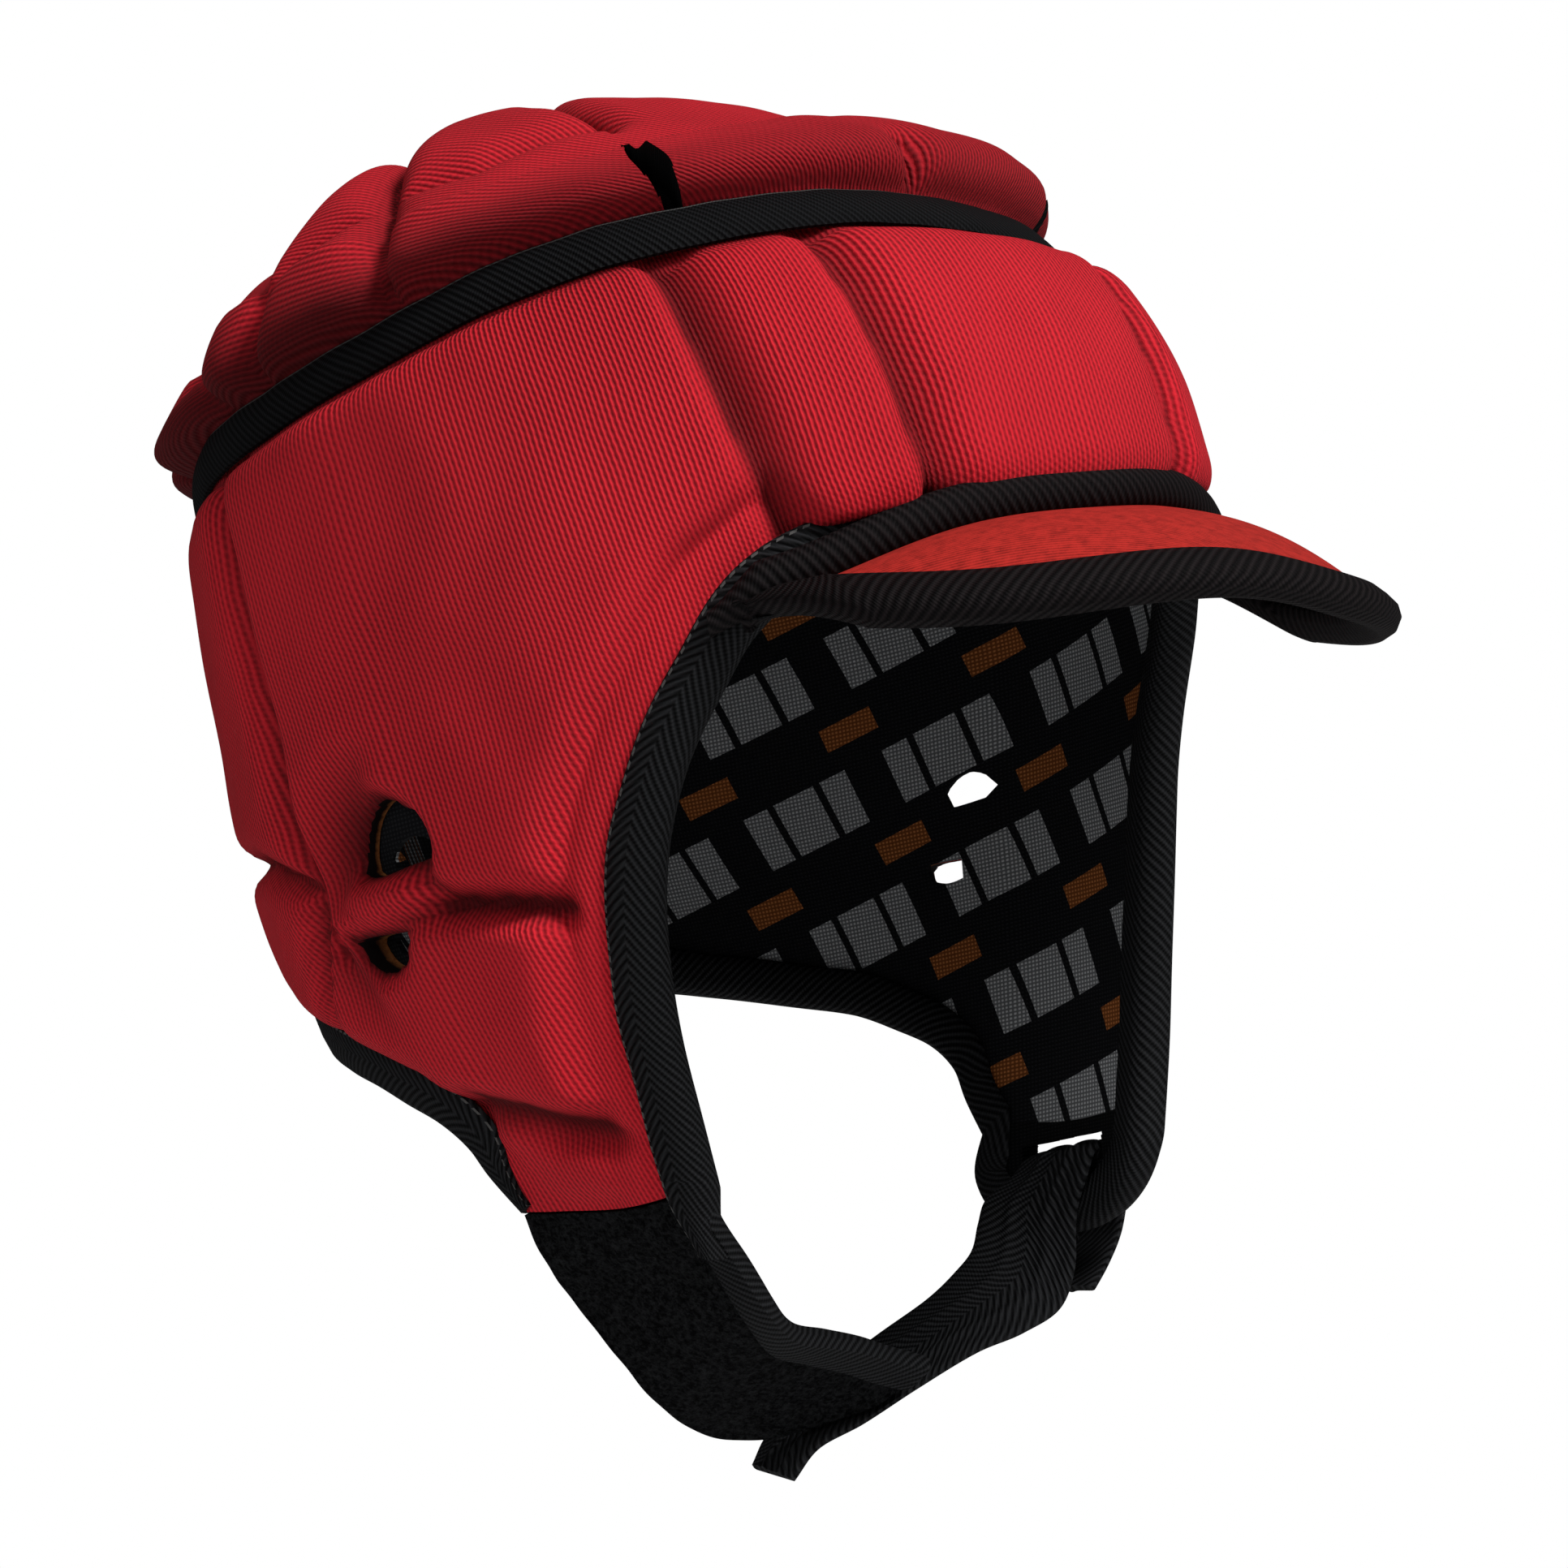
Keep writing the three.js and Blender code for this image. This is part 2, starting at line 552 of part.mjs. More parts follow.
function ventSlitCutters() {
  const cutters = [];
  for (const slit of VENT_SLITS) {
    const half = slit.length / 2;
    const shape = new THREE.Shape();
    shape.moveTo(0, -half);
    shape.quadraticCurveTo(slit.width, 0, 0, half);
    shape.quadraticCurveTo(-slit.width, 0, 0, -half);
    const through = { depth: CUTTER.slitHeight, bevelEnabled: false, curveSegments: CUTTER.slitSides };
    for (const side of [-1, 1]) {
      const turn = radians(slit.turn * side);
      const cutter = new THREE.ExtrudeGeometry(shape, through);
      cutter.rotateZ(turn);
      const y = HEAD.apexShift - slit.distance * Math.cos(turn);
      cutter.translate(slit.distance * Math.sin(turn), y, RING.height + RING.tapeWidth);
      cutters.push(cutter);
    }
  }
  return cutters;
}

function crownPad() {
  const outer = crownRows(CROWN_ROWS, CROWN_RING_STEPS, crownThickness);
  const inner = crownRows(CROWN_LINING_ROWS, [0], () => LAYER.crownInside);
  return cutBy(roundWall(outer, inner), ventSlitCutters());
}

function crownLining() {
  const outer = crownRows(CROWN_LINING_ROWS, [0], () => LAYER.lining);
  const inner = crownRows(CROWN_LINING_ROWS, [0], () => 0);
  return roundWall(outer, inner);
}

function crownBand() {
  const turns = Array.from({ length: CROWN_COLUMNS }, (_, j) => -180 + (360 * j) / CROWN_COLUMNS);
  const steps = [RING.tapeWidth, RING.tapeWidth / 2, 0];
  const rows = (out) => steps.map((step) => turns.map((turn) => onHead(turn, ringRise(turn) + step, out)));
  return roundWall(rows(LAYER.tapeOutside), rows(LAYER.tapeInside));
}

// Section of a folded tape, as steps in from the edge and out from the head hollow
function foldedTape(outerLeg, innerLeg, inside, outside, thickness, gap) {
  return [
    [-gap - thickness, -inside - gap - thickness], [-gap - thickness, outside + gap + thickness],
    [outerLeg, outside + gap + thickness], [outerLeg, outside + gap],
    [-gap, outside + gap], [-gap, -inside - gap],
    [innerLeg, -inside - gap], [innerLeg, -inside - gap - thickness],
  ];
}

function bindingAlong(places) {
  const gap = LAYER.tapeInside - LAYER.flange;
  const section = foldedTape(BINDING.outerLeg, BINDING.innerLeg, 0, LAYER.flange, BINDING.thickness, gap);
  return strip(places.map((place) => section.map(([inward, out]) => (
    onHead(place.turn + place.inTurn * inward, place.rise + place.inRise * inward, out)
  ))));
}

function mirrored(places) {
  return places.map((p) => ({ ...p, turn: -p.turn, inTurn: -p.inTurn })).reverse();
}

// Places along an edge at the wall's own columns
function boundPlaces(edge) {
  const parts = FAN.filter((part) => part.edge === edge);
  const places = parts.flatMap((part) => stations(edge, part.fromRow, part.toRow, part.columns).slice(0, -1));
  return [...places, edgePlace(edge, edge.length - 1)];
}

function faceBinding() {
  const half = boundPlaces(FACE_EDGE);
  const patch = stations(PATCH_EDGE, PATCH_BOUND.faceFrom, PATCH_BOUND.faceTo, PATCH_BOUND.faceSteps);
  return bindingAlong([...mirrored(half.slice(1)), ...half, ...patch]);
}

function neckBinding() {
  const half = boundPlaces(NECK_EDGE);
  const patch = stations(PATCH_EDGE, PATCH_BOUND.neckFrom, PATCH_BOUND.neckTo, PATCH_BOUND.neckSteps);
  return bindingAlong([...patch, ...half, ...mirrored(half.slice(0, -1))]);
}

// Point of the visor: sweep is the angle across it, share goes from the root to the outline
function visorPoint(sweep, share) {
  const side = Math.sin(radians(sweep));
  const ahead = Math.cos(radians(sweep));
  const rootRise = VISOR_ROOT.rise - VISOR_ROOT.endDrop * side ** 4;
  const root = onHead((VISOR_ROOT.turn * sweep) / 90, rootRise, VISOR_ROOT.out);
  const lift = VISOR.endLift * Math.abs(side) ** VISOR.liftPower;
  const droop = VISOR.lean * Math.tanh(VISOR.leanRate * side);
  const edge = new THREE.Vector3(
    VISOR.endX * side,
    VISOR.endY - VISOR.length * ahead,
    VISOR.rise + lift - droop,
  );
  const point = root.lerp(edge, share);
  point.z += VISOR.arch * ahead ** VISOR.archPower * Math.sin(Math.PI * share);
  return point;
}

function visorNormal(sweep, share) {
  const step = 0.01;
  const across = visorPoint(sweep + step, share).sub(visorPoint(sweep - step, share));
  const along = visorPoint(sweep, share + step).sub(visorPoint(sweep, share - step));
  return along.cross(across).normalize();
}

function visorAt(sweep, share, out) {
  return visorPoint(sweep, share).addScaledVector(visorNormal(sweep, share), out);
}

function visorSweeps() {
  const last = VISOR_MESH.sweep;
  return Array.from({ length: VISOR_MESH.columns + 1 }, (_, i) => lerp(-last, last, i / VISOR_MESH.columns));
}

function visorPly(from, to) {
  const shares = Array.from({ length: VISOR_MESH.rows + 1 }, (_, i) => i / VISOR_MESH.rows);
  const sheet = (out) => shares.map((share) => visorSweeps().map((sweep) => visorAt(sweep, share, out)));
  return plate(sheet(to), sheet(from));
}

function visorTop() {
  return visorPly(VISOR_PLY.gap / 2, VISOR_PLY.gap / 2 + VISOR_PLY.thickness);
}

function visorUnder() {
  return visorPly(-VISOR_PLY.gap / 2 - VISOR_PLY.thickness, -VISOR_PLY.gap / 2);
}

function visorRim() {
  const half = VISOR_PLY.gap / 2 + VISOR_PLY.thickness;
  const leg = VISOR_PLY.rimLeg;
  const section = foldedTape(leg, leg, half, half, VISOR_PLY.rimThickness, VISOR_PLY.rimGap);
  return strip(visorSweeps().map((sweep) => {
    const inward = visorInward(sweep);
    const fromEnd = VISOR_MESH.sweep - Math.abs(sweep);
    const shrink = Math.min(1, (fromEnd + VISOR_PLY.rimFade) / (2 * VISOR_PLY.rimFade));
    return section.map(([reach, out]) => {
      const step = reach > 0 ? reach * shrink : reach;
      return visorAt(sweep + inward.sweep * step, 1 + inward.share * step, out);
    });
  }));
}

// Change of sweep and share for a millimetre in from the outline, square to it
function visorInward(sweep) {
  const step = 0.01;
  const across = visorPoint(sweep + step, 1).sub(visorPoint(sweep - step, 1)).divideScalar(2 * step);
  const along = visorPoint(sweep, 1).sub(visorPoint(sweep, 1 - step)).divideScalar(step);
  const slide = -along.dot(across) / across.lengthSq();
  const square = along.clone().addScaledVector(across, slide);
  return { sweep: -slide / square.length(), share: -1 / square.length() };
}

function visorSeamTape() {
  const { bottom, top, inside, outside, bulge, sweep } = SEAM_TAPE;
  const middle = (bottom + top) / 2;
  const section = [
    [bottom, inside], [bottom, outside - bulge], [middle, outside], [top, outside - bulge], [top, inside],
  ];
  const count = VISOR_MESH.columns;
  return strip(Array.from({ length: count + 1 }, (_, i) => {
    const angle = lerp(-sweep, sweep, i / count);
    const drop = VISOR_ROOT.endDrop * Math.sin(radians(angle)) ** 4;
    return section.map(([rise, out]) => onHead((VISOR_ROOT.turn * angle) / 90, rise - drop, out));
  }));
}

// Ribbon between a front and a back edge, smooth along both, as rows of middle points and normals
function ribbon(edges, { rows, columns }) {
  const line = (key) => new THREE.CatmullRomCurve3(edges.map((row) => new THREE.Vector3(...row[key])));
  const front = line('front');
  const back = line('back');
  const point = (along, across) => front.getPoint(along).lerp(back.getPoint(along), across);
  return Array.from({ length: rows + 1 }, (_, i) => Array.from({ length: columns + 1 }, (_unused, j) => {
    const along = i / rows;
    const across = j / columns;
    const step = 0.004;
    const ahead = point(Math.min(1, along + step), across).sub(point(Math.max(0, along - step), across));
    const over = point(along, 1).sub(point(along, 0));
    return { at: point(along, across), out: ahead.cross(over).normalize() };
  }));
}

function ribbonPlate(grid, thickness) {
  const sheet = (out) => grid.map((row) => row.map((p) => p.at.clone().addScaledVector(p.out, out)));
  return plate(sheet(thickness / 2), sheet(-thickness / 2));
}

function tabGrid() {
  const out = (LAYER.padInside + LAYER.flange) / 2;
  const start = TAB_START.rises.map((rise) => ({
    front: onHead(TAB_START.frontTurn, rise, out).toArray(),
    back: onHead(TAB_START.backTurn, rise, out).toArray(),
  }));
  return ribbon([...start, ...TAB_EDGES], TAB_MESH);
}

function chinTab() {
  return ribbonPlate(tabGrid(), TAB_THICKNESS);
}

function chinTabBinding() {
  const { leg, gap, thickness } = TAB_BINDING;
  const half = TAB_THICKNESS / 2;
  const section = foldedTape(leg, leg, half, half, thickness, gap);
  return strip(tabGrid().map((row) => {
    const inward = row.at(-1).at.clone().sub(row[0].at).normalize();
    return section.map(([step, out]) => (
      row[0].at.clone().addScaledVector(inward, step).addScaledVector(row[0].out, out)
    ));
  }));
}

function strapPatch() {
  const edge = stations(PATCH_EDGE, 0, PATCH_EDGE.length - 1, PATCH.columns);
  const first = edge[0];
  const last = edge.at(-1);
  const sheet = (out) => Array.from({ length: PATCH.rows + 1 }, (_, r) => edge.map((place, j) => {
    const turn = lerp(first.turn, last.turn, j / PATCH.columns);
    const top = edgePlace(TIP_EDGE, (2 * j) / PATCH.columns).rise - SEAM_GAP;
    const share = r / PATCH.rows;
    return onHead(lerp(turn, place.turn, share), lerp(top, Math.min(place.rise, top), share), out);
  }));
  const slot = new THREE.BoxGeometry(CUTTER.slotDepth, SLOT.length, SLOT.height);
  slot.translate(SLOT.centreX, SLOT.centreY, SLOT.rise);
  return cutBy(plate(sheet(PATCH.outside), sheet(PATCH.inside)), [slot]);
}

function chinStrap() {
  return ribbonPlate(ribbon(STRAP_EDGES, STRAP_MESH), STRAP_THICKNESS);
}

// A body with its points moved as the soft helmet has settled
function settled(body) {
  const at = body.getAttribute('position');
  for (let i = 0; i < at.count; i += 1) {
    const [x, y, z] = [at.getX(i), at.getY(i), at.getZ(i)];
    const back = FLAPS.back * ease(z, FLAPS.level) * ease(Math.abs(x), FLAPS.side);
    const drawn = ease(z, DRAWN_IN.level) * ease(-x, DRAWN_IN.side) * ease(y, DRAWN_IN.front);
    const held = 1 - BELOW_FLAPS.cut * ease(z, BELOW_FLAPS.level);
    const turn = THREE.MathUtils.radToDeg(Math.atan2(x, -y));
    const level = ease(z, LIFT_LEVELS.below) * ease(z, LIFT_LEVELS.above);
    const lift = tableValue(RING_LIFT, 'turn', 'by', turn) * level;
    at.setXYZ(i, x, y + (back + DRAWN_IN.back * drawn) * held, z + lift);
  }
  return body;
}

const CLOTH = {
  red: new THREE.MeshStandardMaterial({ color: COLOURS.red, roughness: 0.75, metalness: 0 }),
  visorRed: new THREE.MeshStandardMaterial({ color: COLOURS.visorRed, roughness: 0.8, metalness: 0 }),
  tape: new THREE.MeshStandardMaterial({ color: COLOURS.black, roughness: 0.8, metalness: 0 }),
  pile: new THREE.MeshStandardMaterial({ color: COLOURS.pile, roughness: 0.95, metalness: 0 }),
  lining: new THREE.MeshStandardMaterial({ color: COLOURS.lining, roughness: 0.85, metalness: 0 }),
};

const PIECES = [
  { name: 'shell_pad', make: shellPad, cloth: 'red' },
  { name: 'crown_pad', make: crownPad, cloth: 'red' },
  { name: 'shell_lining', make: shellLining, cloth: 'lining' },
  { name: 'crown_lining', make: crownLining, cloth: 'lining' },
  { name: 'crown_band', make: crownBand, cloth: 'tape' },
  { name: 'face_binding', make: faceBinding, cloth: 'tape' },
  { name: 'neck_binding', make: neckBinding, cloth: 'tape' },
  { name: 'visor_top', make: visorTop, cloth: 'visorRed' },
  { name: 'visor_under', make: visorUnder, cloth: 'tape' },
  { name: 'visor_rim', make: visorRim, cloth: 'tape' },
  { name: 'visor_seam_tape', make: visorSeamTape, cloth: 'tape' },
  { name: 'chin_tab', make: chinTab, cloth: 'pile' },
  { name: 'chin_tab_binding', make: chinTabBinding, cloth: 'tape' },
  { name: 'strap_patch', make: strapPatch, cloth: 'tape' },
  { name: 'chin_strap', make: chinStrap, cloth: 'tape' },
];

const helmet = new THREE.Group();
helmet.position.set(0, -HEAD.apexShift, -HEAD.crown);
for (const piece of PIECES) {
  const mesh = new THREE.Mesh(settled(piece.make()), CLOTH[piece.cloth]);
  mesh.name = piece.name;
  helmet.add(mesh);
}

const model = new THREE.Group();
model.add(helmet);

export default model;
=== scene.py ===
"""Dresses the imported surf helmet: padded knit shell and crown, tapes, visor, chin tab, strap and lining."""
import math
from types import SimpleNamespace as Sizes

import bpy
import numpy as np
from mathutils import Matrix, Vector


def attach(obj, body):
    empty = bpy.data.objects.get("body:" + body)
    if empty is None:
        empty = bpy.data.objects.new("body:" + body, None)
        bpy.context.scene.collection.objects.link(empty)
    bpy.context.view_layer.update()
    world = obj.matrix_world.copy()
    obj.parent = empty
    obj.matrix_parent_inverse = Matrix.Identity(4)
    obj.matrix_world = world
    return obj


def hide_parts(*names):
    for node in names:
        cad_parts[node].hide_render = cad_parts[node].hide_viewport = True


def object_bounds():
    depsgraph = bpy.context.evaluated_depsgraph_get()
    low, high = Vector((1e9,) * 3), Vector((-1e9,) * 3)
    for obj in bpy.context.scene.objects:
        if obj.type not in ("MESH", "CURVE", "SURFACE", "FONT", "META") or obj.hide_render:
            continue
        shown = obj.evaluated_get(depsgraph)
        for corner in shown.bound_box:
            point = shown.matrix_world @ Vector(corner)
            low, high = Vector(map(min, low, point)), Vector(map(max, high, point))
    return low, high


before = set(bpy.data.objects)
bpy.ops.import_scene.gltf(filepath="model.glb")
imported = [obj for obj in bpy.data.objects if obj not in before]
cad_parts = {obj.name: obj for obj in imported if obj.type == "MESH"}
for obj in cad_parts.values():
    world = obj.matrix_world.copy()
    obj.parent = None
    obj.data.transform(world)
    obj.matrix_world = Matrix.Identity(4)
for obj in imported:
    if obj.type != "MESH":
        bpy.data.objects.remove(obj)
CAD_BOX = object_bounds()

# Pieces are made in millimetres with the hollow's widest level at z = 0, then moved to the part's frame
ORIGIN = np.array([0.0, 15.0, 84.0])
MM = 0.001

# Head hollow, as in the part's source
HEAD = Sizes(
    half_width=78, front=94, back=98, crown=84,
    apex_shift=15, shift_power=1.5, plan_power=2.2, dome_power=2.25,
)
TAPER = {
    "depth": [0, 30, 60, 90, 120, 150],
    "width": [1.0, 0.99, 0.95, 0.87, 0.77, 0.66],
    "front": [1.0, 1.0, 0.99, 0.98, 0.96, 0.93],
    "back": [1.0, 0.985, 0.89, 0.82, 0.78, 0.76],
}
RING = Sizes(height=33.2, tilt=11.8, tape=8.4, seam=4.0, gap=0.4)
MM_PER_DEGREE = 1.55

# Edge of the wall on one side, as turns from the front and rises from the widest level
FACE_EDGE = [
    (0, -10), (22, -10.5), (38, -12.5), (46, -19), (51, -28), (55.5, -38),
    (59, -50), (61.5, -62), (63.5, -76), (65, -90), (66, -104), (67, -116),
]
TIP_EDGE = [(67, -116), (80, -117), (94, -114)]
FACE_TAIL = [(67, -116), (68.6, -122), (70.4, -129.5)]
TAPE_TAILS = Sizes(face=(-116, -129.5, 0.7), neck=(-99, -114, 0.75))
NECK_EDGE = [
    (94, -114), (97, -106), (99, -99), (103, -93), (109, -88),
    (116, -83), (126, -78.5), (138, -73.5), (152, -69), (180, -66),
]
# Columns of the wall: edge, rows of its table, turns on the ring, count
FAN = [
    (FACE_EDGE, 0, 2, 0, 46, 40),
    (FACE_EDGE, 2, 11, 46, 88, 78),
    (TIP_EDGE, 0, 2, 88, 103, 20),
    (NECK_EDGE, 0, 9, 103, 180, 76),
]
WALL_ROWS = 104
ROW_BUNCHING = 0.35

# Thickness of the wall: bare flange, soft margin beside the face tape, full pad
FLANGE = 4.6
PAD = 11.6
MARGIN = Sizes(start=8.0, pad=17.0, brow_pad=8.5, overlap=4, height=1.7, neck=(-2, 6))
PAD_REACH = 8.0
BACK_THIN = Sizes(turn=(105, 135), by=3.0)
RING_SEAM = Sizes(below=3.4, reach=1.6, depth=1.3)
NECK_START = 8.5
TIP_START = 2.0
RING_START = 1.6
BROW = Sizes(turn=(44, 34), below=(16, 4), above=(-6, 0), drop=3.0)
# Lowest the relief goes below the flange, height of small waves, and where pad and lining begin and end
DEEPEST = -2.2
UNEVEN = 0.25
PAD_INSIDE = 1.5
LINING_OUTSIDE = 1.2
LINING_ROWS = 40
# Painted shade of the wall: its strength under the ring tape, how far it reaches, and its share along the
# ring's seam
WALL_SHADE = Sizes(ring=0.7, ring_reach=3.0, seam=0.6)
# Angles between faces, in degrees, that are shaded as an edge
PAD_SHARP = 60
BAND_SHARP = 40

# Cloth coordinates: millimetres for a degree of turn, and how the wall's ribs lean towards its sides
CLOTH_PER_DEGREE = Sizes(knit=1.68, lining=1.45, band=1.5, brow_tape=1.75, patch=1.3)
RIB_LEAN = Sizes(share=0.2, turn=(4, 30))
CROWN_CLOTH = Sizes(radius=95, drop=10)

# Small steps: for a slope along an edge, and for fitting a mesh to the edge of a hole
NUDGE = 0.01
SNAP_STEPS = 0.05 * np.eye(2)
SNAP_ROUNDS = 3
TINY = 1e-9

# Sewn channels of the wall: places as (turn, rise), reach behind the line and ahead of it, depth
WALL_GROOVES = [
    ([(25.5, 41), (23, 22), (21, 1), (20.5, -6)], 4.0, 12.0, 5.6),
    ([(47, 40), (44.4, 22), (41, 3), (40, -6)], 4.5, 15.0, 6.2),
    ([(114.5, 30), (111.5, 12), (110, -6), (109, -33), (107, -46)], 7.0, 8.0, 6.0),
    ([(106.5, -47), (109.5, -57), (115, -72), (117, -80)], 7.0, 7.0, 6.2),
    ([(180, -38), (140, -36), (121, -38), (112, -43), (106.5, -47)], 6.0, 6.0, 6.0),
    ([(180, 22), (180, -66)], 7.0, 7.0, 5.0),
    ([(73, -60.5), (80.5, -57.5), (88, -55.5)], 3.6, 6.0, 9.6),
    ([(90, -47), (87, -55.5)], 3.0, 3.0, 5.0),
    ([(95, -58.5), (87, -55.5)], 3.0, 3.0, 5.0),
    ([(106.5, -44), (105.8, -52), (106.2, -60)], 4.0, 4.0, 6.5),
    ([(77.5, -101.5), (83, -99), (87.5, -95.5), (93, -91.5)], 4.0, 9.0, 7.0),
]
# Half width of a channel's flat bottom, and how steeply its soft side falls
FLAT_BOTTOM = 0.9
SOFT_FALL = 1.4
FLAP_END = Sizes(level=(-95.0, -104.0), share=0.38)

# Ear vents: outline of (turn, rise), 1 where the cloth slopes in from above and -1 from below, depth,
# and the width and height of the hole in the lining as shares of the outline's
EAR_VENTS = [
    (
        [(88, -46.4), (88.8, -40.8), (91, -35.8), (94, -33.6), (97, -35.8), (99, -40.6), (99.4, -46.4)],
        1, 8.0, (0.72, 0.46),
    ),
    ([(93.8, -58.6), (103, -58.4), (102.4, -62.2), (99, -65.2), (95, -63.8)], -1, 5.6, (0.9, 0.62)),
]
# How the cloth falls to a vent: a long slope at the back and a rolled edge elsewhere
VENT_LIP = Sizes(slope=14.0, power=1.3, edge=2.6, lean=0.5, back=(2, 11))
VENT_POINTS = 48

# Quilting of the crown, seen from above from its top: one side's lines, mirrored
CROWN_PAD = 14.8
CROWN_GROOVES = [
    ([(3, 4), (14.5, -17), (22, -35)], 6.5, 7.5),
    ([(22, -35), (25, -39)], 4.0, 3.0),
    ([(0, 27), (43, -3), (69, -23), (95, -40)], 9.0, 9.0),
    ([(30, 36), (64, 10)], 8.0, 5.0),
    ([(64, 10), (77, 21), (100, 29)], 8.0, 8.5),
    ([(74, 19), (67, 28), (60, 37), (50, 50)], 8.0, 7.5),
    ([(22, -35), (44, -24), (52, -8.5), (58, 0), (64, 10)], 8.0, 4.5),
    ([(0, 60), (40, 62), (62, 70), (80, 80)], 8.0, 7.0),
    ([(0, -76), (0, -115)], 6.0, 7.0),
    ([(0, 27), (0, 60), (0, 110)], 8.0, 5.0),
]
CROWN_SLITS = [
    ([(30.5, -46.5), (35, -53), (39.5, -60), (43.5, -68), (46.5, -78)], [0.7, 1.7, 2.6, 1.8, 0.7]),
    ([(71, 16), (76, 20), (82, 23)], [0.6, 1.7, 0.8]),
]
SLIT_POINTS = 25
# Change of the crown's thickness along it, by distance behind its top, fading in above the tape
CROWN_LEVEL = Sizes(
    behind=[-80, -62, -40, -20, -5, 8, 20, 45],
    by=[-5.5, -8, -5, -1, 1.5, 2, -3, -6],
    above=(5, 20),
)
CROWN_COLUMNS = 432
CROWN_ROWS = 100
CROWN_BUNCHING = 1.35
CROWN_RIPPLE = 1.3
LOBE_DEPTH = 8
# How the crown's lobes bulge and hang over the tape, and the painted shade under them and in the crown's
# grooves
CROWN_LIP = Sizes(reach=9.0, hang=6.5, length=15.0, out=2.5, front_out=4.5, out_length=18.0)
CROWN_SHADE = Sizes(above=(18, 3.5), front=0.6, dent=8.5)

# Tape over the crown's seam
BAND = Sizes(
    columns=360, rows=11, inside=5.0, outside=5.7,
    plump=1.1, power=0.6, uneven=0.12, ripple=2.1,
)
# Folded tapes seen from their ends: steps in from the edge, and out from the head hollow or the middle
FOLD = [
    (9.0, 4.9), (8.6, 5.7), (6.5, 6.2), (3.0, 6.3), (0.0, 6.0), (-1.6, 4.8), (-2.3, 2.6),
    (-2.1, 0.3), (-1.0, -1.2), (1.0, -1.8), (4.0, -1.7), (6.6, -1.3), (7.0, -0.6),
]
FOLD_INSIDE = [
    (8.9, 4.7), (8.4, 4.9), (6.5, 5.0), (3.0, 5.0), (0.4, 4.9), (-0.7, 4.2), (-1.2, 2.6),
    (-1.1, 0.9), (-0.4, -0.1), (1.2, -0.6), (4.0, -0.6), (6.4, -0.5), (6.9, -0.4),
]
VISOR_FOLD = [
    (8.5, 2.2), (8.0, 3.0), (5.5, 3.6), (2.5, 3.6), (0.0, 3.3), (-1.6, 2.2), (-2.3, 0.0),
    (-1.6, -2.2), (0.0, -3.3), (2.5, -3.6), (5.5, -3.6), (8.0, -3.0), (8.5, -2.2),
]
TAB_FOLD = [
    (6.2, 1.4), (5.8, 2.4), (4.0, 2.9), (1.5, 2.8), (-0.6, 2.2), (-1.5, 0.0),
    (-0.6, -2.2), (1.5, -2.6), (4.0, -2.6), (5.8, -2.2), (6.2, -1.4),
]
TAB_FOLD_LEAST = 1.35
TAB_FOLD_SCALE = 0.6
BINDING = Sizes(points=9, least_step=0.3, wave=(0.9, 0.4), wave_from=6)

VISOR = Sizes(
    end_x=64, end_y=-80, length=70, rise=-33.8, end_lift=8, lift_power=8,
    lean=5.2, lean_rate=3, arch=4.2, arch_power=0.6, curl=3.6, curl_power=60,
)
VISOR_ROOT = Sizes(turn=47, rise=-9.2, end_drop=8.5, drop_power=4, out=7.8)
VISOR_SWEEP = 90
VISOR_PLY_SWEEP = 87
VISOR_TIP = Sizes(sweep=(72, 90), cut=0.8, fade=24)
VISOR_PLY = Sizes(columns=150, rows=40, inside=0.15, thickness=1.6, plump=0.5)
VISOR_RIM = Sizes(points=260, steepest=-0.1, past=6, thickness=2.0, inner_scale=0.5)
SEAM_TAPE = Sizes(
    bottom=-8.4, top=0.1, inside=6.8, outside=11.2,
    sweep=97, end=84, end_drop=0.42, thin=0.45,
    columns=200, rows=13, power=0.7, thickness=0.6, width=7.0,
)

TAB_THICKNESS = 2.4
TAB_MESH = (150, 60)
TAB_SEWN_ROWS = 14
TIP_POINTS = 41
TAB_UNEVEN = Sizes(by=0.15, rate=2)
TAB_START = Sizes(front=-68, back=-95.2, rise=-121, out=3.0, gap=0.2)
TAB_EDGES = [
    ((-51.5, -32.5, -129.5), (-55.5, 12.6, -129.5)), ((-44, -26.5, -139.5), (-47.5, 12.8, -143.5)),
    ((-34, -19.6, -145.8), (-39, 14, -153.8)), ((-23, -16.8, -148.4), (-28.5, 14.8, -161)),
    ((-13, -15.4, -151), (-18.5, 11, -164)), ((-4.5, -14.6, -154), (-9, 2, -163.5)),
    ((2.5, -15.8, -156.6), (-2.5, -7.2, -162.4)),
]
PATCH_EDGE = [
    (67, -116.5), (68, -123), (72, -130), (78, -134.5), (85, -135), (92, -131), (95.5, -123), (94, -114.5),
]
PATCH = Sizes(rows=60, columns=120, overlap=1.5, inside=-0.2, outside=4.4)
SLOT = Sizes(y=-15, rise=-121.4, length=25, height=5.4)
STRAP_MESH = (300, 40)
STRAP_THICKNESS = 1.6
